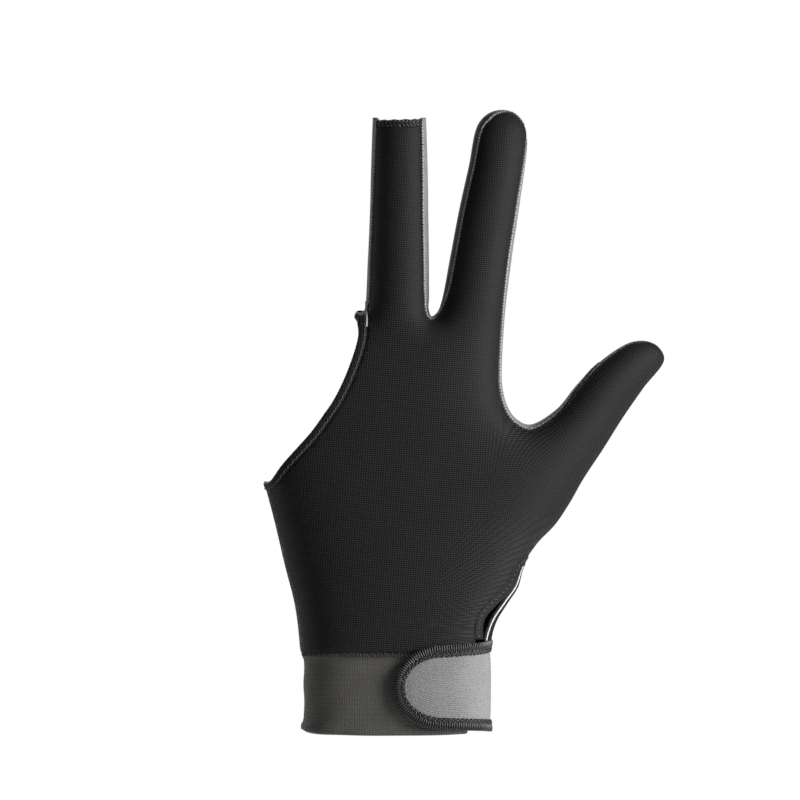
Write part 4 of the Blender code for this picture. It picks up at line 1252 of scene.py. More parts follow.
@dataclass
class StitchRow:
    """Row of short threads laid along a line by geometry nodes."""

    pitch: float
    length: float
    thread: float
    slant: float = 0.0
    zigzag: float = 0.0
    bow: float = 0.0003
    jitter: float = 0.10
    seed: int = 7

    def tree(self, material: bpy.types.Material) -> bpy.types.NodeTree:
        """Build the node tree of the row.

        Args:
            material: finish of the threads.

        Returns:
            The tree, with named inputs for its sizes.
        """
        tree = bpy.data.node_groups.new("stitch_row", "GeometryNodeTree")
        face = tree.interface
        face.new_socket("Geometry", in_out="INPUT", socket_type="NodeSocketGeometry")
        for title in ("Pitch", "Length", "Thread Radius", "Slant", "Zigzag", "Bow", "Jitter"):
            face.new_socket(title, in_out="INPUT", socket_type="NodeSocketFloat")
        face.new_socket("Seed", in_out="INPUT", socket_type="NodeSocketInt")
        face.new_socket("Geometry", in_out="OUTPUT", socket_type="NodeSocketGeometry")
        entry, leave = tree.nodes.new("NodeGroupInput"), tree.nodes.new("NodeGroupOutput")

        def add(kind: str, **settings: object) -> bpy.types.Node:
            """Add a node with its properties."""
            node = tree.nodes.new(kind)
            for key, value in settings.items():
                setattr(node, key, value)
            return node

        def math_of(how: str, left: object, right: object) -> bpy.types.NodeSocket:
            """Arithmetic on two values."""
            node = add("ShaderNodeMath", operation=how)
            for slot, value in enumerate((left, right)):
                if isinstance(value, (int, float)):
                    node.inputs[slot].default_value = value
                else:
                    tree.links.new(value, node.inputs[slot])
            return node.outputs[0]

        wire = tree.links.new
        line = add("GeometryNodeMeshToCurve")
        wire(entry.outputs["Geometry"], line.inputs["Mesh"])
        spaced = add("GeometryNodeResampleCurve", mode="LENGTH")
        wire(line.outputs["Curve"], spaced.inputs["Curve"])
        wire(entry.outputs["Pitch"], spaced.inputs["Length"])
        half = math_of("MULTIPLY", entry.outputs["Length"], 0.5)
        ends = []
        for sign, low in ((-1.0, True), (-0.5, False), (0.5, False), (1.0, True)):
            spot = add("ShaderNodeCombineXYZ")
            wire(math_of("MULTIPLY", half, sign), spot.inputs["X"])
            wire(math_of("MULTIPLY", entry.outputs["Bow"], -1.0 if low else 0.0), spot.inputs["Z"])
            ends.append(spot.outputs["Vector"])
        bend = add("GeometryNodeCurvePrimitiveBezierSegment")
        bend.inputs["Resolution"].default_value = 4
        for title, spot in zip(("Start", "Start Handle", "End Handle", "End"), ends):
            wire(spot, bend.inputs[title])
        round_ = add("GeometryNodeCurvePrimitiveCircle")
        round_.inputs["Resolution"].default_value = 5
        wire(entry.outputs["Thread Radius"], round_.inputs["Radius"])
        thread = add("GeometryNodeCurveToMesh")
        thread.inputs["Fill Caps"].default_value = True
        wire(bend.outputs["Curve"], thread.inputs["Curve"])
        wire(round_.outputs["Curve"], thread.inputs["Profile Curve"])
        tangent = add("GeometryNodeInputTangent")
        upward = add("GeometryNodeInputNamedAttribute", data_type="FLOAT_VECTOR")
        upward.inputs["Name"].default_value = "up"
        along = add("FunctionNodeAlignRotationToVector", axis="X")
        wire(tangent.outputs[0], along.inputs["Vector"])
        stand = add("FunctionNodeAlignRotationToVector", axis="Z", pivot_axis="X")
        wire(along.outputs["Rotation"], stand.inputs["Rotation"])
        wire(upward.outputs["Attribute"], stand.inputs["Vector"])
        index = add("GeometryNodeInputIndex")
        parity = math_of("MODULO", index.outputs[0], 2.0)
        swing = math_of("SUBTRACT", math_of("MULTIPLY", parity, 2.0), 1.0)
        angle = math_of("ADD", entry.outputs["Slant"], math_of("MULTIPLY", swing, entry.outputs["Zigzag"]))
        chance = add("FunctionNodeRandomValue", data_type="FLOAT")
        chance.inputs[2].default_value, chance.inputs[3].default_value = -1.0, 1.0
        wire(entry.outputs["Seed"], chance.inputs["Seed"])
        wobble = math_of("MULTIPLY", chance.outputs[1], entry.outputs["Jitter"])
        turn = add("FunctionNodeAxisAngleToRotation")
        turn.inputs["Axis"].default_value = (0.0, 0.0, 1.0)
        wire(math_of("ADD", angle, wobble), turn.inputs["Angle"])
        swung = add("FunctionNodeRotateRotation", rotation_space="LOCAL")
        wire(stand.outputs["Rotation"], swung.inputs["Rotation"])
        wire(turn.outputs["Rotation"], swung.inputs["Rotate By"])
        place = add("GeometryNodeInstanceOnPoints")
        wire(spaced.outputs["Curve"], place.inputs["Points"])
        wire(thread.outputs["Mesh"], place.inputs["Instance"])
        wire(swung.outputs["Rotation"], place.inputs["Rotation"])
        real = add("GeometryNodeRealizeInstances")
        wire(place.outputs["Instances"], real.inputs["Geometry"])
        finish = add("GeometryNodeSetMaterial")
        finish.inputs["Material"].default_value = material
        wire(real.outputs["Geometry"], finish.inputs["Geometry"])
        wire(finish.outputs["Geometry"], leave.inputs["Geometry"])
        return tree

    def lay(self, name: str, lines: Sequence[tuple[Array, Array]],
            material: bpy.types.Material) -> bpy.types.Object:
        """Lay the row along one or more lines.

        Args:
            name: name of the piece.
            lines: points and outward directions of each line.
            material: finish of the threads.

        Returns:
            One plain mesh with every thread.
        """
        verts, edges, ups = [], [], []
        for points, normals in lines:
            start = len(verts)
            verts += [tuple(float(c) for c in p) for p in points]
            edges += [(start + i, start + i + 1) for i in range(len(points) - 1)]
            ups += [tuple(float(c) for c in n) for n in normals]
        guide = bpy.data.meshes.new(name + "_line")
        guide.from_pydata(verts, edges, [])
        up = guide.attributes.new("up", "FLOAT_VECTOR", "POINT")
        up.data.foreach_set("vector", np.array(ups, np.float32).ravel())
        piece = bpy.data.objects.new(name, guide)
        bpy.context.scene.collection.objects.link(piece)
        tree = self.tree(material)
        modifier = piece.modifiers.new("stitches", "NODES")
        modifier.node_group = tree
        values = {"Pitch": self.pitch, "Length": self.length, "Thread Radius": self.thread,
                  "Slant": self.slant, "Zigzag": self.zigzag, "Bow": self.bow,
                  "Jitter": self.jitter, "Seed": self.seed}
        for socket in tree.interface.items_tree:
            if socket.in_out == "INPUT" and socket.name in values:
                modifier[socket.identifier] = values[socket.name]
        graph = bpy.context.evaluated_depsgraph_get()
        mesh = bpy.data.meshes.new_from_object(piece.evaluated_get(graph), depsgraph=graph)
        mesh.name = name
        piece.modifiers.clear()
        piece.data = mesh
        mesh.polygons.foreach_set("use_smooth", np.ones(len(mesh.polygons), bool))
        bpy.data.meshes.remove(guide)
        bpy.data.node_groups.remove(tree)
        return piece


def settle(piece: bpy.types.Object, slot: str, *nodes: str) -> bpy.types.Object:
    """Let a piece ride on the glove and stand for its solids.

    Args:
        piece: the finished piece.
        slot: name of its finish; not used.
        nodes: names of the solids that it stands for.

    Returns:
        The piece.
    """
    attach(piece, "root")
    if nodes:
        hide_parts(*nodes)
    LOG.info("%s: %d faces", piece.name, len(piece.data.polygons))
    return piece


# Cloth panels


def crossings(loop: Array, cut: Array) -> list[tuple[float, float]]:
    """Places where an open cut crosses a closed loop.

    Args:
        loop: the closed loop.
        cut: the open cut.

    Returns:
        Place on the cut and place on the loop, for each crossing in order.
    """
    a, b = cut[:-1], cut[1:]
    c, d = loop, np.roll(loop, -1, axis=0)
    r, s = (b - a)[:, None, :], (d - c)[None, :, :]
    rel = c[None] - a[:, None]
    bottom = r[..., 0] * s[..., 1] - r[..., 1] * s[..., 0]
    with np.errstate(divide="ignore", invalid="ignore"):
        t = (rel[..., 0] * s[..., 1] - rel[..., 1] * s[..., 0]) / bottom
        u = (rel[..., 0] * r[..., 1] - rel[..., 1] * r[..., 0]) / bottom
    hit = (t >= 0) & (t < 1) & (u >= 0) & (u < 1)
    return sorted((i + t[i, j], j + u[i, j]) for i, j in zip(*np.nonzero(hit)))


def splice(loop: Array, kind: Array, cut: Array) -> tuple[Array, Array]:
    """Replace the run of a loop that a cut takes off.

    Args:
        loop: the closed loop.
        kind: 1 for seam points, 0 for cut points.
        cut: the open cut, in the loop's own direction.

    Returns:
        The new loop and the kind of its points.
    """
    found = crossings(loop, cut)
    (cut_in, loop_in), (cut_out, loop_out) = found[0], found[-1]
    count = len(loop)

    def spot(value: float) -> Array:
        """Point of the loop at a float index."""
        i, share = int(value) % count, value - int(value)
        return loop[i] * (1 - share) + loop[(i + 1) % count] * share

    start, end = int(loop_out) + 1, int(loop_in)
    if end < start:
        end += count
    kept = [k % count for k in range(start, end + 1)]
    middle = cut[int(cut_in) + 1:int(cut_out) + 1]
    new_loop = np.vstack([spot(loop_out)[None], loop[kept], spot(loop_in)[None], middle])
    new_kind = np.concatenate([[1], kind[kept], [1], np.zeros(len(middle), int)])
    return new_loop, new_kind


def rib_map(plan: Array) -> Array:
    """Lay the knit rows over plan points.

    Args:
        plan: plan points.

    Returns:
        The map in centimetres, turned to run across the thumb.
    """
    lean, thumb_turn = math.radians(4.0), math.radians(40.0)
    reach = smooth((plan[:, 0] - 0.026) / 0.030) * smooth((plan[:, 1] - 0.040) / 0.030)
    reach = reach * smooth((0.150 - plan[:, 1]) / 0.030 + (plan[:, 0] - 0.047) / 0.012)
    turn = lean + (thumb_turn - lean) * reach
    rel = plan - np.array([0.0440, 0.0740])
    u = rel[:, 0] * np.cos(turn) - rel[:, 1] * np.sin(turn)
    v = rel[:, 0] * np.sin(turn) + rel[:, 1] * np.cos(turn)
    return np.stack([u, v], axis=1) * 100


@dataclass
class KnitPanel:
    """One knit panel of the glove, with its ribs laid to the hand."""

    side: Side
    node: str
    step: float = 0.00115
    seam_tuck: float = 0.00028
    hem_lap: float = 0.00015
    seam_drop: float = 0.0004
    fan_centre: tuple[float, float] = (-0.0083, 0.0342)
    fan_radius: float = 0.035
    web_middle: tuple[float, float] = (0.0395, 0.1000)
    flat: tuple[float, float] = (0.150, 0.190)

    def loop(self, form: HandForm) -> tuple[Array, Array]:
        """Plan boundary of the panel and the kind of its points."""
        outline = form.outline
        places = np.arange(0.0, outline.total, 0.0004)
        inset = outline.seam_inset(places)
        loop = outline.point(places) + outline.inward(places) * inset[:, None]
        kind = np.ones(len(loop), int)
        opening = form.opening_path(SIZES.hem - self.hem_lap)[::-1]
        opening = np.vstack([opening[0] + np.array([-0.006, -0.001]), opening[:-3], plan_point(-0.178, 0.700)])
        cuts = [opening, form.tip_line(SIZES.tip_hem - self.hem_lap)]
        seam = form.wrist.seam(self.side, self.seam_drop)
        if self.side is Side.BACK:
            slit = offset_path(rounded_path(SLIT_EDGE), SIZES.hem - self.hem_lap)
            seam = seam[seam[:, 0] < slit[-1, 0] - 0.0008]
            slit = slit[slit[:, 1] > seam[0, 1] + 0.0006]
            corner = np.array([slit[-1, 0], seam[0, 1]])
            seam = np.vstack([slit[0] + np.array([0.006, 0.0035]), slit, corner, seam])
        cuts.append(seam)
        for cut in cuts:
            loop, kind = splice(loop, kind, cut)
        return loop, kind

    def ring(self, form: HandForm) -> tuple[Array, Array]:
        """Boundary stations at an even spacing in space, and their kind."""
        loop, kind = self.loop(form)
        dense, _ = form.skin.lift(loop, self.side.value)
        closed = np.vstack([dense, dense[:1]])
        lengths = arc_lengths(closed)
        bends = np.linalg.norm(np.roll(loop, -3, axis=0) - 2 * loop + np.roll(loop, 3, axis=0), axis=1)
        weight = np.diff(lengths) * (1 + np.minimum(bends / 0.0004, 1.2))
        total = np.concatenate([[0.0], np.cumsum(weight)])
        count = round(total[-1] / (self.step * 0.9))
        index = np.interp(np.linspace(0, total[-1], count + 1)[:-1], total, np.arange(len(loop) + 1))
        low = np.floor(index).astype(int) % len(loop)
        share = (index - np.floor(index))[:, None]
        ring = loop[low] * (1 - share) + loop[(low + 1) % len(loop)] * share
        return ring, kind[low] * kind[(low + 1) % len(loop)]

    def plan_cloud(self, form: HandForm, ring: Array) -> Array:
        """Inner plan points, in rows along the outline and a grid between them."""
        outline = form.outline
        rows = []
        for number, turn in enumerate(np.radians([9, 17, 26, 35, 45, 56])):
            depth = SIZES.nominal_side * (1 - math.cos(turn))
            places = np.arange(number % 2 * self.step / 2, outline.total, self.step)
            rows.append(outline.point(places) + outline.inward(places) * depth)
        grid = hex_grid(ring.min(axis=0), ring.max(axis=0), self.step)
        extra = np.vstack([*rows, grid])
        return extra[inside(extra, ring)]

    def fold_map(self, form: HandForm, plan: Array) -> tuple[Array, Array]:
        """Strain folds: their map, and how strong they are.

        Args:
            form: the hand form.
            plan: plan points.

        Returns:
            The map in centimetres and the strength.
        """
        rel = plan - np.array(self.fan_centre)
        fan = np.arctan2(rel[:, 1], rel[:, 0]) * self.fan_radius
        slit = rounded_path(SLIT_EDGE, 0.001)
        to_slit = nearest(point_tree(slit), plan)
        height = smooth((plan[:, 1] - 0.024) / 0.012) * smooth((0.078 - plan[:, 1]) / 0.016)
        strong = np.exp(-(to_slit / 0.017) ** 2) * height * (self.side is Side.BACK)
        middle = form.outline.place("thumb_web", 0.0)
        places = np.arange(middle - 0.034, middle + 0.022, 0.0006)
        web = point_tree(form.outline.point(places))
        to_web = nearest(web, plan)
        away = np.linalg.norm(plan - np.array(self.web_middle), axis=1)
        near_web = 0.30 * np.exp(-(to_web / 0.008) ** 2 - (away / 0.015) ** 2)
        use_web = near_web > strong
        v = np.where(use_web, to_web * 0.9, fan)
        u = np.where(use_web, plan[:, 1], np.linalg.norm(rel, axis=1))
        return np.stack([u * 0.25, v], axis=1) * 100, np.maximum(strong, near_web)

    def build(self, form: HandForm, finishes: Finishes) -> tuple[bpy.types.Object, ClothMesh]:
        """Make the panel.

        Args:
            form: the hand form.
            finishes: the shared finishes.

        Returns:
            The piece and its mesh data.
        """
        ring, kind = self.ring(form)
        extra = self.plan_cloud(form, ring)
        fixed, _ = form.skin.lift(ring, self.side.value)
        lifted, _ = form.skin.lift(extra, self.side.value)
        extra = extra[thinned(fixed, lifted, self.step * 0.72)]
        plan, tris = triangulate(np.vstack([ring, extra]), ring)
        points, normals = form.skin.lift(plan, self.side.value)
        tuck = np.zeros(len(plan))
        tuck[:len(ring)] = np.where(kind == 1, self.seam_tuck, self.seam_tuck * 0.5)
        points = points - normals * tuck[:, None]
        verts, faces, source = closed_sheet(points, normals, tris, len(ring), SIZES.cloth)
        folds, strain = self.fold_map(form, plan)
        cloth = ClothMesh(verts, faces, {"knit": rib_map(plan)[source], "folds": folds[source]},
                          {"strain": strain[source]})
        piece = cloth.add_to_scene(self.node.replace("panel", "knit"), finishes.knit)
        return settle(piece, "black_knit", self.node), cloth


@dataclass
class SeamWork:
    """Rolls and stitches that close the panel seams."""

    roll_radius: float = 0.00034
    black_radius: float = 0.00042
    stitch: StitchRow = field(default_factory=lambda: StitchRow(0.00100, 0.0009, 0.00013, math.pi / 2, 0.30, 0.0003, 0.2))

    def raw_edges(self, form: HandForm, finishes: Finishes) -> list[bpy.types.Object]:
        """Pale raw edges of the side strips, and the black stitches over them."""
        pieces = []
        for number, strip in enumerate(STRIPS):
            start, end = form.outline.strip_span(strip)
            places = np.arange(start + 0.0002, end - 0.0002, 0.00045)
            lines = []
            for side in (-1.0, 1.0):
                title = "back" if side < 0 else "palm"
                wander = np.sin(places * 5200 + number) * 0.5 + np.sin(places * 9100 + 2 * side) * 0.5
                path, normals = form.seam_path(places, side, -0.00012, -0.00018)
                if strip == "fourchette_middle_outer" and side < 0:
                    tail, out = form.skin.lift(evenly(rounded_path(STRIP_TAIL), 0.0004), side)
                    path = np.vstack([tail + out * 0.0001, path])
                radius = self.roll_radius * (1 + 0.22 * wander)
                radius *= 0.35 + 0.65 * smooth(np.minimum(places - start, end - places) / 0.002)
                if len(path) > len(radius):
                    radius = np.concatenate([np.full(len(path) - len(radius), radius.max() * 0.8), radius])
                roll = roll_of(path, radius)
                piece = roll.add_to_scene(f"{strip.replace('fourchette', 'raw_edge')}_{title}", finishes.raw_edge)
                pieces.append(settle(piece, "grey_mesh"))
                lines.append(form.seam_path(places, side, 0.00040, 0.00010))
            name = strip.replace("fourchette", "seam_stitches")
            pieces.append(settle(self.stitch.lay(name, lines, finishes.black_thread), "black_hem"))
        return pieces

    def plain_seams(self, form: HandForm, finishes: Finishes) -> list[bpy.types.Object]:
        """Black seams where the two panels meet without a strip."""
        outline = form.outline
        spans = (
            ("side_seam", outline.place("wrist_seam_left", 0.02), outline.place("little_corner", -0.01)),
            ("thumb_seam", outline.place("thumb_web", 0.72), outline.place("slit_top", -0.02)),
            ("index_tip_seam", outline.place("index_tip_inner", 0.69), outline.place("index_tip_outer", 0.01)),
        )
        pieces = []
        stitch = StitchRow(0.0013, 0.0008, 0.00008, math.pi / 2, 0.15, 0.0001)
        for name, start, end in spans:
            places = np.arange(start, end, 0.0006)
            path, normals = form.seam_path(places, 0.0, -0.00048)
            roll = roll_of(path, self.black_radius).add_to_scene(name + "_roll", finishes.hem)
            pieces.append(settle(roll, "black_hem"))
            line = form.seam_path(places, 0.0, -0.00018)
            pieces.append(settle(stitch.lay(name + "_stitches", [line], finishes.black_thread), "black_hem"))
        return pieces


@dataclass
class SideStrip:
    """Grey strip along the side of a finger."""

    node: str
    flat: tuple[float, float]
    longer: tuple[float, float] = (0.0013, 0.0013)
    step: float = 0.0008
    puff: float = 0.00012

    def build(self, form: HandForm, finishes: Finishes) -> bpy.types.Object:
        """Make the strip."""
        start, end = form.outline.strip_span(self.node)
        start, end = start - self.longer[0], end + self.longer[1]
        places = np.linspace(start, end, round((end - start) / self.step))
        inset = form.outline.seam_inset(places)
        turn = np.maximum(np.arccos(1 - inset / SIZES.nominal_side) - 0.00012 / SIZES.nominal_side, 0.03)
        shares = np.array([-1.0, -0.8, -0.55, -0.3, 0.0, 0.3, 0.55, 0.8, 1.0])
        depth = SIZES.nominal_side * (1 - np.cos(turn[:, None] * shares[None]))
        grid = (form.outline.point(places)[:, None, :]
                + form.outline.inward(places)[:, None, :] * depth[..., None])
        sides = np.broadcast_to(np.where(shares < 0, -1.0, 1.0), depth.shape)
        points, normals = form.skin.lift(grid.reshape(-1, 2), sides.reshape(-1), 0.0)
        points = points.reshape(*depth.shape, 3)
        normals = normals.reshape(*depth.shape, 3)
        rise = (self.puff * (1 - shares ** 2) - 0.00022 * shares ** 4)[None, :, None]
        cloth = ribbon(points + normals * rise, points - normals * SIZES.cloth)
        # Painted shade: the index half of the middle-index strip is darkened, as that side faces away from the key
        # light in the middle finger's shade.
        shaded = np.where(self.node == "fourchette_middle_index", 0.55, 0.0)
        worn = shaded * smooth((places - form.outline.place("middle_root_inner", 0.6)) / 0.004)
        cloth.shades["worn"] = np.repeat(worn, len(cloth.verts) // len(places))
        piece = cloth.add_to_scene(self.node.replace("fourchette", "side_strip"), finishes.strip)
        settle(piece, "grey_mesh", self.node)
        return piece


@dataclass
class OpeningHem:
    """Turned hem round the opening that leaves two fingers bare."""

    step: float = 0.0008
    zigzag: StitchRow = field(default_factory=lambda: StitchRow(0.0011, 0.0009, 0.00015, 0.0, 0.40, 0.0002, 0.25))

    def build(self, form: HandForm, finishes: Finishes) -> list[bpy.types.Object]:
        """Make the hem and its stitches."""
        outline = form.outline
        edge, inner = form.opening_path(0.0), form.opening_path(SIZES.hem)
        count = round(arc_lengths(edge)[-1] / self.step)
        index = np.linspace(0, len(edge) - 1, count)
        pick = [np.stack([np.interp(index, np.arange(len(p)), p[:, k]) for k in (0, 1)], axis=1)
                for p in (edge, inner)]
        shares = np.array([0.0, 0.06, 0.2, 0.45, 0.7, 0.88, 1.0])
        half = pick[0][:, None] * (1 - shares[None, :, None]) + pick[1][:, None] * shares[None, :, None]
        tree = point_tree(outline.polygon)
        for station in (0, -1):
            half[station] = [outline.polygon[tree.find((p[0], p[1], 0.0))[1]] for p in half[station]]
        grid = np.vstack([half, half[-2:0:-1]])
        sides = np.concatenate([np.full(len(half), -1.0), np.full(len(half) - 2, 1.0)])
        sides = np.broadcast_to(sides[:, None], grid.shape[:2])
        points, normals = form.skin.lift(grid.reshape(-1, 2), sides.reshape(-1), 0.0)
        points = points.reshape(*grid.shape[:2], 3)
        normals = normals.reshape(*grid.shape[:2], 3)
        rise = SIZES.hem_rise * np.array([0.2, 0.7, 0.95, 0.9, 0.5, 0.2, -0.05])[None, :, None]
        fall = SIZES.cloth + SIZES.hem_rise
        cloth = ribbon(points + normals * rise, points - normals * fall, closed=True)
        cloth.maps = {"knit": rib_map(cloth.verts[:, [0, 2]])}
        piece = settle(cloth.add_to_scene("bare_finger_hem", finishes.knit), "black_hem", "opening_hem")
        lines = []
        for side in (-1.0, 1.0):
            row = pick[0][1:-1] * 0.24 + pick[1][1:-1] * 0.76
            path, out = form.skin.lift(row, side, 0.0)
            lines.append((path + out * SIZES.hem_rise * 1.1, out))
        stitches = self.zigzag.lay("bare_finger_hem_stitches", lines, finishes.pick_thread)
        return [piece, settle(stitches, "black_hem")]


@dataclass
class WebCorner:
    """Turned black corner between the opening and the root of the middle finger."""

    thickness: float = 0.0024

    def build(self, form: HandForm, finishes: Finishes) -> bpy.types.Object:
        """Make the corner."""
        knots = np.array([plan_point(*row) for row in WEB_CORNER])
        knots = np.vstack([knots[-1], knots, knots[0], knots[1]])
        ring = evenly(catmull(knots, 0.0004)[0], 0.0005)[:-1]
        grid = hex_grid(ring.min(axis=0), ring.max(axis=0), 0.0007)
        grid = grid[inside(grid, ring)]
        grid = grid[nearest(point_tree(ring), grid) > 0.0004]
        plan, tris = triangulate(np.vstack([ring, grid]), ring)
        rim = nearest(point_tree(ring), plan)
        deep = self.thickness * (0.28 + 0.22 * smooth(rim / 0.0009))
        points = np.stack([plan[:, 0], form.skin.centre(plan) - deep, plan[:, 1]], axis=1)
        normals = np.tile([0.0, -1.0, 0.0], (len(points), 1))
        verts, faces, source = closed_sheet(points, normals, tris, len(ring), 1.0)
        count = len(points)
        verts[count:2 * count] = points + np.array([0.0, 2.0, 0.0]) * deep[:, None]
        verts[2 * count:] = (points[:len(ring)] + verts[count:count + len(ring)]) / 2
        cloth = ClothMesh(verts, faces, {"strip": plan[source] * 100})
        return settle(cloth.add_to_scene("web_corner", finishes.hem), "black_hem")


@dataclass
class FingertipHem:
    """Turned hem of one side of the open fingertip, overlocked in a chevron."""

    side: Side
    node: str
    chevron: StitchRow = field(default_factory=lambda: StitchRow(0.00125, 0.00145, 0.00022, 0.0, 0.0, 0.0002, 0.12))

    def build(self, form: HandForm, finishes: Finishes) -> list[bpy.types.Object]:
        """Make the hem and its stitches."""
        outline = form.outline
        turns = np.radians(np.linspace(-90, 90, 41))
        shares = np.array([0.0, 0.08, 0.25, 0.5, 0.75, 0.92, 1.0])
        rows = []
        for share in shares:
            line = form.tip_line(SIZES.tip_hem * share)
            height = float(line[:, 1].mean())
            ends = []
            for low, high in (("middle_root_outer", "middle_tip_outer"),
                              ("middle_tip_inner", "middle_root_inner")):
                place = outline.place_at(low, high, height)
                inset = float(outline.seam_inset(np.array([place]))[0]) + 0.0001
                ends.append(outline.point(place) + outline.inward(place) * inset)
            x = (ends[0][0] + ends[1][0]) / 2 + (ends[1][0] - ends[0][0]) / 2 * np.sin(turns)
            rows.append(np.stack([x, np.interp(x, line[:, 0], line[:, 1])], axis=1))
        grid = np.stack(rows, axis=1)
        wave = 0.00012 * np.sin(np.linspace(0, 34, len(turns)))[:, None] * (1 - shares)[None]
        grid[..., 1] += wave
        points, normals = form.skin.lift(grid.reshape(-1, 2), self.side.value, 0.0)
        points, normals = points.reshape(*grid.shape[:2], 3), normals.reshape(*grid.shape[:2], 3)
        rise = SIZES.hem_rise * np.array([0.2, 0.8, 1.1, 1.1, 1.0, 0.5, 0.0])[None, :, None]
        cloth = ribbon(points + normals * rise, points - normals * (SIZES.cloth + SIZES.hem_rise))
        title = "back" if self.side is Side.BACK else "palm"
        piece = cloth.add_to_scene(f"fingertip_hem_{title}", finishes.hem)
        pieces = [settle(piece, "black_hem", self.node)]
        for share, slant in ((0.27, 0.75), (0.76, -0.75)):
            line = form.tip_line(SIZES.tip_hem * share)
            keep = (line[:, 0] > grid[0, 3, 0] + 0.0011) & (line[:, 0] < grid[-1, 3, 0] - 0.0011)
            path, out = form.skin.lift(evenly(line[keep], 0.0005), self.side.value, 0.0)
            row = StitchRow(self.chevron.pitch, self.chevron.length, self.chevron.thread, slant)
            name = f"fingertip_chevron_{title}_{'upper' if slant > 0 else 'lower'}"
            stitches = row.lay(name, [(path + out * (SIZES.hem_rise + 0.0001), out)], finishes.hem_thread)
            pieces.append(settle(stitches, "black_hem"))
        return pieces


@dataclass
class WristSlit:
    """Hem and piped binding of the wrist slit."""

    step: float = 0.0007
    piping_radius: float = 0.00027
    border_radius: float = 0.00046
    zigzag: StitchRow = field(default_factory=lambda: StitchRow(0.0009, 0.0011, 0.00013, 0.0, 0.65, 0.0002))

    def hem(self, form: HandForm, finishes: Finishes) -> list[bpy.types.Object]:
        """Stitched hem of the back panel."""
        edge = form.slit_path()
        inner = offset_path(edge, SIZES.hem)
        low = form.wrist.seam(Side.BACK, 0.0)[0, 1] + 0.0001
        keep = np.nonzero(edge[:, 1] > low)[0]
        count = round(arc_lengths(edge[keep])[-1] / self.step)
        index = np.linspace(keep[0], keep[-1], count)
        pick = [np.stack([np.interp(index, np.arange(len(p)), p[:, k]) for k in (0, 1)], axis=1)
                for p in (edge, inner)]
        shares = np.array([0.0, 0.06, 0.2, 0.45, 0.7, 0.88, 1.0])[None, :, None]
        grid = pick[0][:, None] * (1 - shares) + pick[1][:, None] * shares
        points, normals = form.skin.lift(grid.reshape(-1, 2), -1.0, 0.0)
        points, normals = points.reshape(*grid.shape[:2], 3), normals.reshape(*grid.shape[:2], 3)
        rise = SIZES.hem_rise * np.array([0.2, 0.7, 0.95, 0.9, 0.5, 0.2, -0.05])[None, :, None]
        cloth = ribbon(points + normals * rise, points - normals * (SIZES.cloth + SIZES.hem_rise))
        cloth.maps = {"knit": rib_map(cloth.verts[:, [0, 2]])}
        piece = settle(cloth.add_to_scene("slit_turned_hem", finishes.knit), "black_hem", "slit_hem")
        line = pick[0][2:-1] * 0.4 + pick[1][2:-1] * 0.6
        path, out = form.skin.lift(line, -1.0, 0.0)
        stitches = self.zigzag.lay("slit_hem_stitches", [(path + out * SIZES.hem_rise, out)], finishes.hem_thread)
        return [piece, settle(stitches, "black_hem")]

    def binding(self, form: HandForm, finishes: Finishes) -> list[bpy.types.Object]:
        """Folded edge of the palm panel with its pale piping."""
        outline = form.outline
        start = outline.marks["slit_top"] - 0.0012
        low = form.wrist.seam(Side.BACK, 0.0)[0, 1]
        end = outline.place_at("slit_top", "wrist_seam_right", low + 0.0002)
        places = np.linspace(start, end, 60)
        rows = np.array(BINDING_INSETS)
        share = np.clip((places - start) / (end - start), 0, 1)
        inset = np.interp(share, rows[:, 0], rows[:, 1]) * SIZES.strip_inset
        turn = np.arccos(1 - inset / SIZES.nominal_side)
        shares = np.array([0.0, 0.2, 0.4, 0.6, 0.8, 1.0])
        depth = SIZES.nominal_side * (1 - np.cos(turn[:, None] * shares[None]))
        grid = outline.point(places)[:, None] + outline.inward(places)[:, None] * depth[..., None]
        points, normals = form.skin.lift(grid.reshape(-1, 2), -1.0, 0.0)
        points, normals = points.reshape(*depth.shape, 3), normals.reshape(*depth.shape, 3)
        cloth = ribbon(points, points - normals * SIZES.cloth)
        piece = settle(cloth.add_to_scene("slit_binding_fold", finishes.hem), "piping", "slit_binding")
        pieces = [piece]
        edge_path = points[:, 0] + normals[:, 0] * 0.00005
        border = roll_of(edge_path, self.border_radius).add_to_scene("slit_binding_border", finishes.edging)
        pieces.append(settle(border, "black_hem"))
        mid = points[:, -2] * 0.5 + points[:, -1] * 0.5
        inner_path = mid + normals[:, -1] * 0.00012
        piping = roll_of(inner_path[2:], self.piping_radius).add_to_scene("slit_piping", finishes.piping)
        pieces.append(settle(piping, "piping"))
        return pieces


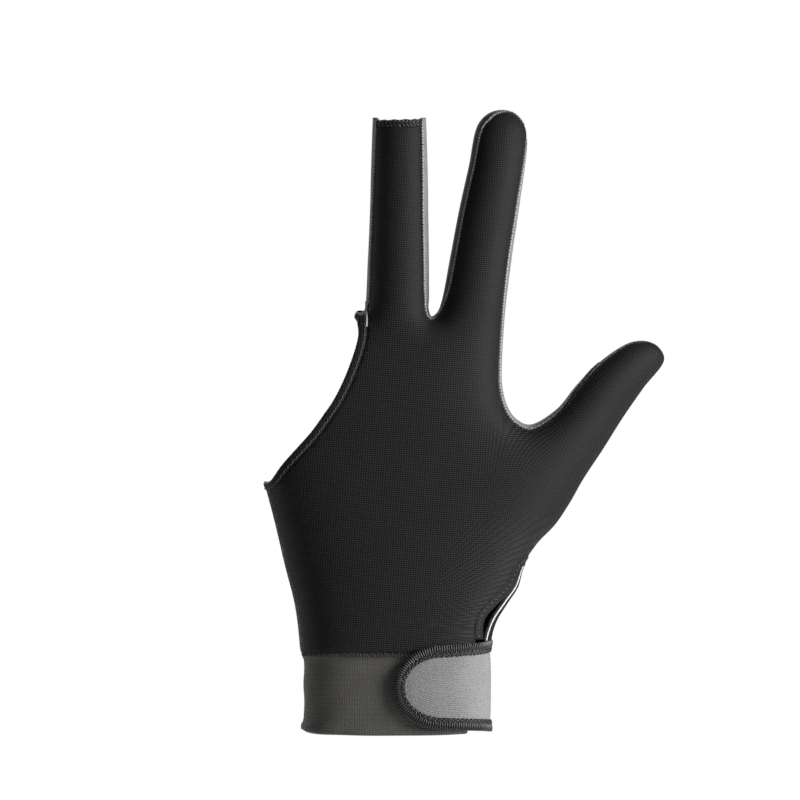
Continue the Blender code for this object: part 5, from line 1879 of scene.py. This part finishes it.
@dataclass
class WristBand:
    """Grey band round the wrist, with a soft wave and a turned lower edge."""

    depth: float = 0.0013
    thickness: float = 0.0015
    sag: float = 0.0019
    top: float = 0.0271
    flare: float = 0.0004
    flat: tuple[float, float] = (0.160, 0.029)

    def build(self, form: HandForm, finishes: Finishes) -> list[bpy.types.Object]:
        """Make the band and the toothed seam over it."""
        turns = np.radians(np.linspace(38.0, 352.0, 240))
        shares = np.linspace(0.0, 1.0, 30) ** 0.9
        outer, inner = [], []
        for turn in turns:
            bottom = 0.0009 - self.sag * max(0.0, math.sin(turn))
            heights = bottom + (self.top - bottom) * shares
            points, normals = form.wrist.ring(np.full(len(heights), turn), heights)
            lift = -self.depth + self.flare * np.exp(-((heights - bottom) / 0.0022) ** 2)
            lift += 0.0009 * np.exp(-((heights - 0.0247) / 0.0013) ** 2) * smooth(-2.5 * math.cos(turn) - 1.2)
            lift += 0.0007 * np.exp(-((heights - bottom - 0.0006) / 0.0012) ** 2) * smooth(-2.5 * math.cos(turn) - 1.2)
            lift += 0.00016 * np.sin(heights * 520 + turn * 3) * np.sin(turn * 5 + 1) * smooth((0.023 - heights) / 0.006)
            lift -= 0.00014 * np.exp(-((heights - bottom - 0.0030) / 0.0004) ** 2)
            outer.append(points + normals * lift[:, None])
            inner.append(points - normals * (self.depth + self.thickness))
        cloth = ribbon(np.array(outer), np.array(inner))
        piece = settle(cloth.add_to_scene("wrist_band_cloth", finishes.band), "band_grey", "wrist_band")
        lines = []
        for side in (Side.BACK, Side.PALM):
            seam = form.wrist.seam(side, 0.0009)
            free = seam[:, 1] < SIZES.seam_height - 0.0008
            seam = seam[free & (np.abs(seam[:, 0]) < 0.0297)]
            if len(seam) > 3:
                path, out = form.skin.lift(evenly(seam, 0.0007), side.value, 0.0)
                lines.append((path - out * 0.00030 + np.array([0.0, 0.0, -0.0003]), out))
        row = StitchRow(0.0011, 0.0012, 0.00022, math.pi / 2, 0.35, 0.0002, 0.2)
        stitches = settle(row.lay("wrist_seam_stitches", lines, finishes.black_thread), "black_hem")
        return [piece, stitches]


@dataclass
class ClosingStrap:
    """Grey strap with a rounded tab and an overlocked black edging."""

    thickness: float = 0.0012
    edging: float = 0.0036
    crown: float = 0.00022
    flat: tuple[float, float] = (0.072, 0.023)
    overlock: StitchRow = field(default_factory=lambda: StitchRow(0.00078, 0.0022, 0.00024, math.pi / 2, 0.0, 0.00035, 0.05))
    knots: StitchRow = field(default_factory=lambda: StitchRow(0.00078, 0.0007, 0.00020, 0.35, 0.0, 0.0002, 0.1))
    zigzag: StitchRow = field(default_factory=lambda: StitchRow(0.00080, 0.00120, 0.00017, 0.0, 0.85, 0.0002, 0.25))

    def lane_points(self, form: HandForm, grid: Array, heights: Array) -> tuple[Array, Array]:
        """Lift lane points to a height over the strap's base.

        Args:
            form: the hand form.
            grid: stations by rows by run and height on the lane.
            heights: stations by rows of height over the base.

        Returns:
            Points and outward directions.
        """
        flat = grid.reshape(-1, 2)
        points, normals = form.wrist.lane(flat[:, 0], flat[:, 1])
        lift = WristLane.base(flat[:, 0]) + heights.reshape(-1)
        return ((points + normals * lift[:, None]).reshape(*grid.shape[:2], 3),
                normals.reshape(*grid.shape[:2], 3))

    def patch(self, form: HandForm, finishes: Finishes) -> tuple[bpy.types.Object, ClothMesh]:
        """Light grey loop cloth inside the edging."""
        wrist = form.wrist
        edge = self.edging - 0.0002
        columns = []
        for angle in np.radians(np.linspace(6, 90, 22)):
            run = wrist.tab_middle - (wrist.tab_length - edge) * math.cos(angle)
            half = (wrist.tab_half_height - edge) * math.sin(angle)
            columns.append((run, wrist.strap_middle - half, wrist.strap_middle + half))
        for run in np.linspace(wrist.tab_middle, wrist.tab_end + wrist.strap_length, 80)[1:]:
            low, high = wrist.limits(run)
            columns.append((run, low + edge, high - edge))
        shares = np.linspace(0.0, 1.0, 25)
        grid = np.array([[(run, low + (high - low) * s) for s in shares] for run, low, high in columns])
        dome = self.crown * (1 - (2 * shares - 1) ** 4)[None] * np.ones((len(grid), 1))
        end_fade = smooth((grid[:, :1, 0] - grid[0, 0, 0]) / 0.003)
        outer, _ = self.lane_points(form, grid, self.thickness - 0.0002 + dome * end_fade)
        inner, _ = self.lane_points(form, grid, np.zeros(grid.shape[:2]))
        cloth = ribbon(outer, inner)
        piece = settle(cloth.add_to_scene("strap_loop_cloth", finishes.loops), "strap_grey", "strap")
        return piece, cloth

    def edge_pairs(self, wrist: WristLane) -> tuple[Array, Array]:
        """Outer and inner edge of the edging on the lane, round the tab."""
        end = wrist.tab_end + wrist.strap_length
        outer, inner = [], []
        runs = np.linspace(end, wrist.tab_middle, 90)[:-1]
        for run in runs:
            high = wrist.limits(run)[1]
            outer.append((run, high))
            inner.append((run, high - self.edging))
        for angle in np.radians(np.linspace(90, -90, 64)):
            for rows, less in ((outer, 0.0), (inner, self.edging)):
                rows.append((wrist.tab_middle - (wrist.tab_length - less) * math.cos(angle),
                             wrist.strap_middle + (wrist.tab_half_height - less) * math.sin(angle)))
        for run in runs[::-1]:
            low = wrist.limits(run)[0]
            outer.append((run, low))
            inner.append((run, low + self.edging))
        return np.array(outer), np.array(inner)

    def trim(self, form: HandForm, finishes: Finishes) -> list[bpy.types.Object]:
        """Black edging with its overlock threads."""
        outer, inner = self.edge_pairs(form.wrist)
        shares = np.array([0.0, 0.05, 0.14, 0.28, 0.44, 0.58, 0.64, 0.72, 0.84, 0.93, 1.0])
        rise = np.array([0.55, 1.05, 1.42, 1.62, 1.60, 1.42, 1.34, 1.50, 1.50, 1.34, 0.95]) * 0.001
        grid = outer[:, None] * (1 - shares[None, :, None]) + inner[:, None] * shares[None, :, None]
        top, _ = self.lane_points(form, grid, np.broadcast_to(rise, grid.shape[:2]))
        low = np.array([0.0, -0.1, -0.15, -0.2, -0.2, -0.2, -0.2, -0.2, -0.1, 0.0, 0.1]) * 0.001
        bottom, _ = self.lane_points(form, grid, np.broadcast_to(low, grid.shape[:2]))
        cloth = ribbon(top, bottom)
        pieces = [settle(cloth.add_to_scene("strap_edge_trim", finishes.edging), "edge_black", "strap_edging")]
        for name, row, share, height in (("strap_overlock", self.overlock, 0.29, 0.00166),
                                         ("strap_edge_knots", self.knots, 0.03, 0.0010),
                                         ("strap_edge_zigzag", self.zigzag, 0.72, 0.00156),
                                         ("strap_edge_pebbles", self.zigzag, 0.88, 0.00146)):
            line = (outer * (1 - share) + inner * share)[:, None]
            path, out = self.lane_points(form, line, np.full((len(line), 1), height))
            path, out = path[:, 0], out[:, 0]
            keep = slice(2, -2)
            pieces.append(settle(row.lay(name, [(path[keep], out[keep])], finishes.hem_thread), "edge_black"))
        return pieces

    def end_stitches(self, form: HandForm, finishes: Finishes) -> bpy.types.Object:
        """Stitches that hold the strap's sewn end to the band."""
        wrist = form.wrist
        run = wrist.tab_end + wrist.strap_length - 0.0016
        low, high = wrist.limits(run)
        lines = []
        for shift in (0.0, -0.0030):
            heights = np.linspace(low + 0.0006, high - 0.0006, 40)
            grid = np.stack([np.full(40, run + shift), heights], axis=1)[:, None]
            path, out = self.lane_points(form, grid, np.full((40, 1), 0.00150))
            lines.append((path[:, 0], out[:, 0]))
        row = StitchRow(0.0011, 0.0012, 0.00015, 0.0, 0.6, 0.0003)
        return settle(row.lay("strap_end_stitches", lines, finishes.black_thread), "edge_black")

    def build(self, form: HandForm, finishes: Finishes) -> list[bpy.types.Object]:
        """Make the strap, its edging and its sewn end."""
        piece, cloth = self.patch(form, finishes)
        trims = self.trim(form, finishes)
        trims.append(self.end_stitches(form, finishes))
        return [piece, *trims]


@dataclass
class HookPad:
    """Hook tape between the tab and the band."""

    half_height: float = 0.0088
    start: float = 0.0045
    end: float = 0.0200
    thickness: float = 0.0005

    def build(self, form: HandForm, finishes: Finishes) -> bpy.types.Object:
        """Make the tape."""
        wrist = form.wrist
        heights = np.linspace(wrist.strap_middle - self.half_height, wrist.strap_middle + self.half_height, 24)
        runs = np.linspace(self.start, self.end, 22)
        grid = np.array([[(run, z) for z in heights] for run in runs])
        flat = grid.reshape(-1, 2)
        points, normals = wrist.lane(flat[:, 0], flat[:, 1])
        points, normals = points.reshape(*grid.shape[:2], 3), normals.reshape(*grid.shape[:2], 3)
        base = WristLane.base(runs)[:, None, None] - SIZES.gap
        cloth = ribbon(points + normals * base, points + normals * (base - self.thickness))
        return settle(cloth.add_to_scene("hook_tape", finishes.hooks), "hook_black", "hook_pad")


# Studio


@dataclass
class Studio:
    """Pale floor, soft lights and the camera."""

    distance: float = 5.0
    frame_width: float = 0.256
    aim: tuple[float, float] = (0.0016, 0.1059)
    floor_height: float = -0.25
    floor_radius: float = 0.95
    world_light: float = 0.035

    def floor(self) -> bpy.types.Object:
        """Round pale floor below the glove."""
        mesh = bpy.data.meshes.new("studio_floor")
        work = bmesh.new()
        bmesh.ops.create_circle(work, cap_ends=True, segments=96, radius=self.floor_radius)
        bmesh.ops.translate(work, verts=work.verts, vec=Vector((0.0, 0.0, self.floor_height)))
        work.to_mesh(mesh)
        work.free()
        mesh.materials.append(StudioFinish().material())
        piece = bpy.data.objects.new("studio_floor", mesh)
        bpy.context.scene.collection.objects.link(piece)
        return piece

    def lamp(self, name: str, spot: tuple[float, float, float], size: tuple[float, float], power: float) -> None:
        """Add a soft light that points at the glove.

        Args:
            name: name of the light.
            spot: its place.
            size: width and height of its face.
            power: its power in watts.
        """
        data = bpy.data.lights.new(name, "AREA")
        data.shape = "RECTANGLE"
        data.size, data.size_y = size
        data.energy = power
        lamp = bpy.data.objects.new(name, data)
        lamp.location = spot
        aim = Vector((self.aim[0], 0.0, self.aim[1])) - Vector(spot)
        lamp.rotation_euler = aim.to_track_quat("-Z", "Y").to_euler()
        bpy.context.scene.collection.objects.link(lamp)

    def lights(self) -> None:
        """Key light from the right, weaker fills and a white surround."""
        self.lamp("key_light", (1.35, -0.66, 0.45), (0.8, 1.0), 42.0)
        self.lamp("fill_light", (-1.15, 0.50, 0.25), (0.4, 1.0), 3.0)
        self.lamp("front_light", (0.30, -1.6, 0.75), (1.0, 0.8), 2.0)
        self.lamp("back_light", (-0.35, 1.5, 0.60), (1.2, 1.0), 16.0)
        world = bpy.data.worlds.new("studio_surround")
        world.use_nodes = True
        tree = world.node_tree
        tree.nodes.clear()
        output = tree.nodes.new("ShaderNodeOutputWorld")
        seen = tree.nodes.new("ShaderNodeBackground")
        seen.inputs["Color"].default_value = (1.0, 1.0, 1.0, 1.0)
        glow = tree.nodes.new("ShaderNodeBackground")
        glow.inputs["Color"].default_value = (1.0, 1.0, 1.0, 1.0)
        glow.inputs["Strength"].default_value = self.world_light
        ray = tree.nodes.new("ShaderNodeLightPath")
        mix = tree.nodes.new("ShaderNodeMixShader")
        tree.links.new(ray.outputs["Is Camera Ray"], mix.inputs[0])
        tree.links.new(glow.outputs[0], mix.inputs[1])
        tree.links.new(seen.outputs[0], mix.inputs[2])
        tree.links.new(mix.outputs[0], output.inputs["Surface"])
        bpy.context.scene.world = world

    def camera(self) -> None:
        """Level camera in front of the back of the hand."""
        data = bpy.data.cameras.new("camera")
        data.sensor_width = 36.0
        data.lens = 36.0 * self.distance / self.frame_width
        data.clip_start, data.clip_end = 0.05, 20.0
        camera = bpy.data.objects.new("camera", data)
        camera.location = (self.aim[0], -self.distance, self.aim[1])
        camera.rotation_euler = (math.radians(90), 0.0, 0.0)
        bpy.context.scene.collection.objects.link(camera)
        bpy.context.scene.camera = camera
        bpy.context.scene.view_settings.view_transform = "Standard"

    def build(self) -> None:
        """Set the stage."""
        self.camera()
        self.lights()
        self.floor()


def build_glove() -> None:
    """Make every piece of the glove in order."""
    form = HandForm.make()
    finishes = Finishes.make()
    back, back_cloth = KnitPanel(Side.BACK, "back_panel").build(form, finishes)
    palm, palm_cloth = KnitPanel(Side.PALM, "palm_panel").build(form, finishes)
    SideStrip("fourchette_middle_outer", (0.010, 0.062), (0.0013, 0.0006)).build(form, finishes)
    SideStrip("fourchette_middle_index", (0.012, 0.140), (0.0006, 0.0013)).build(form, finishes)
    SideStrip("fourchette_index_thumb", (0.010, 0.145)).build(form, finishes)
    seams = SeamWork()
    seams.raw_edges(form, finishes)
    seams.plain_seams(form, finishes)
    hems = OpeningHem().build(form, finishes)
    hems.append(WebCorner().build(form, finishes))
    back_tip = FingertipHem(Side.BACK, "tip_hem_back").build(form, finishes)
    palm_tip = FingertipHem(Side.PALM, "tip_hem_palm").build(form, finishes)
    slit = WristSlit()
    slit_hem = slit.hem(form, finishes)
    slit_binding = slit.binding(form, finishes)
    WristBand().build(form, finishes)
    ClosingStrap().build(form, finishes)
    HookPad().build(form, finishes)


def main() -> None:
    """Set the studio and build the glove."""
    logging.basicConfig(level=logging.INFO, format="%(message)s")
    Studio().build()
    build_glove()


if __name__ == "__main__":
    main()
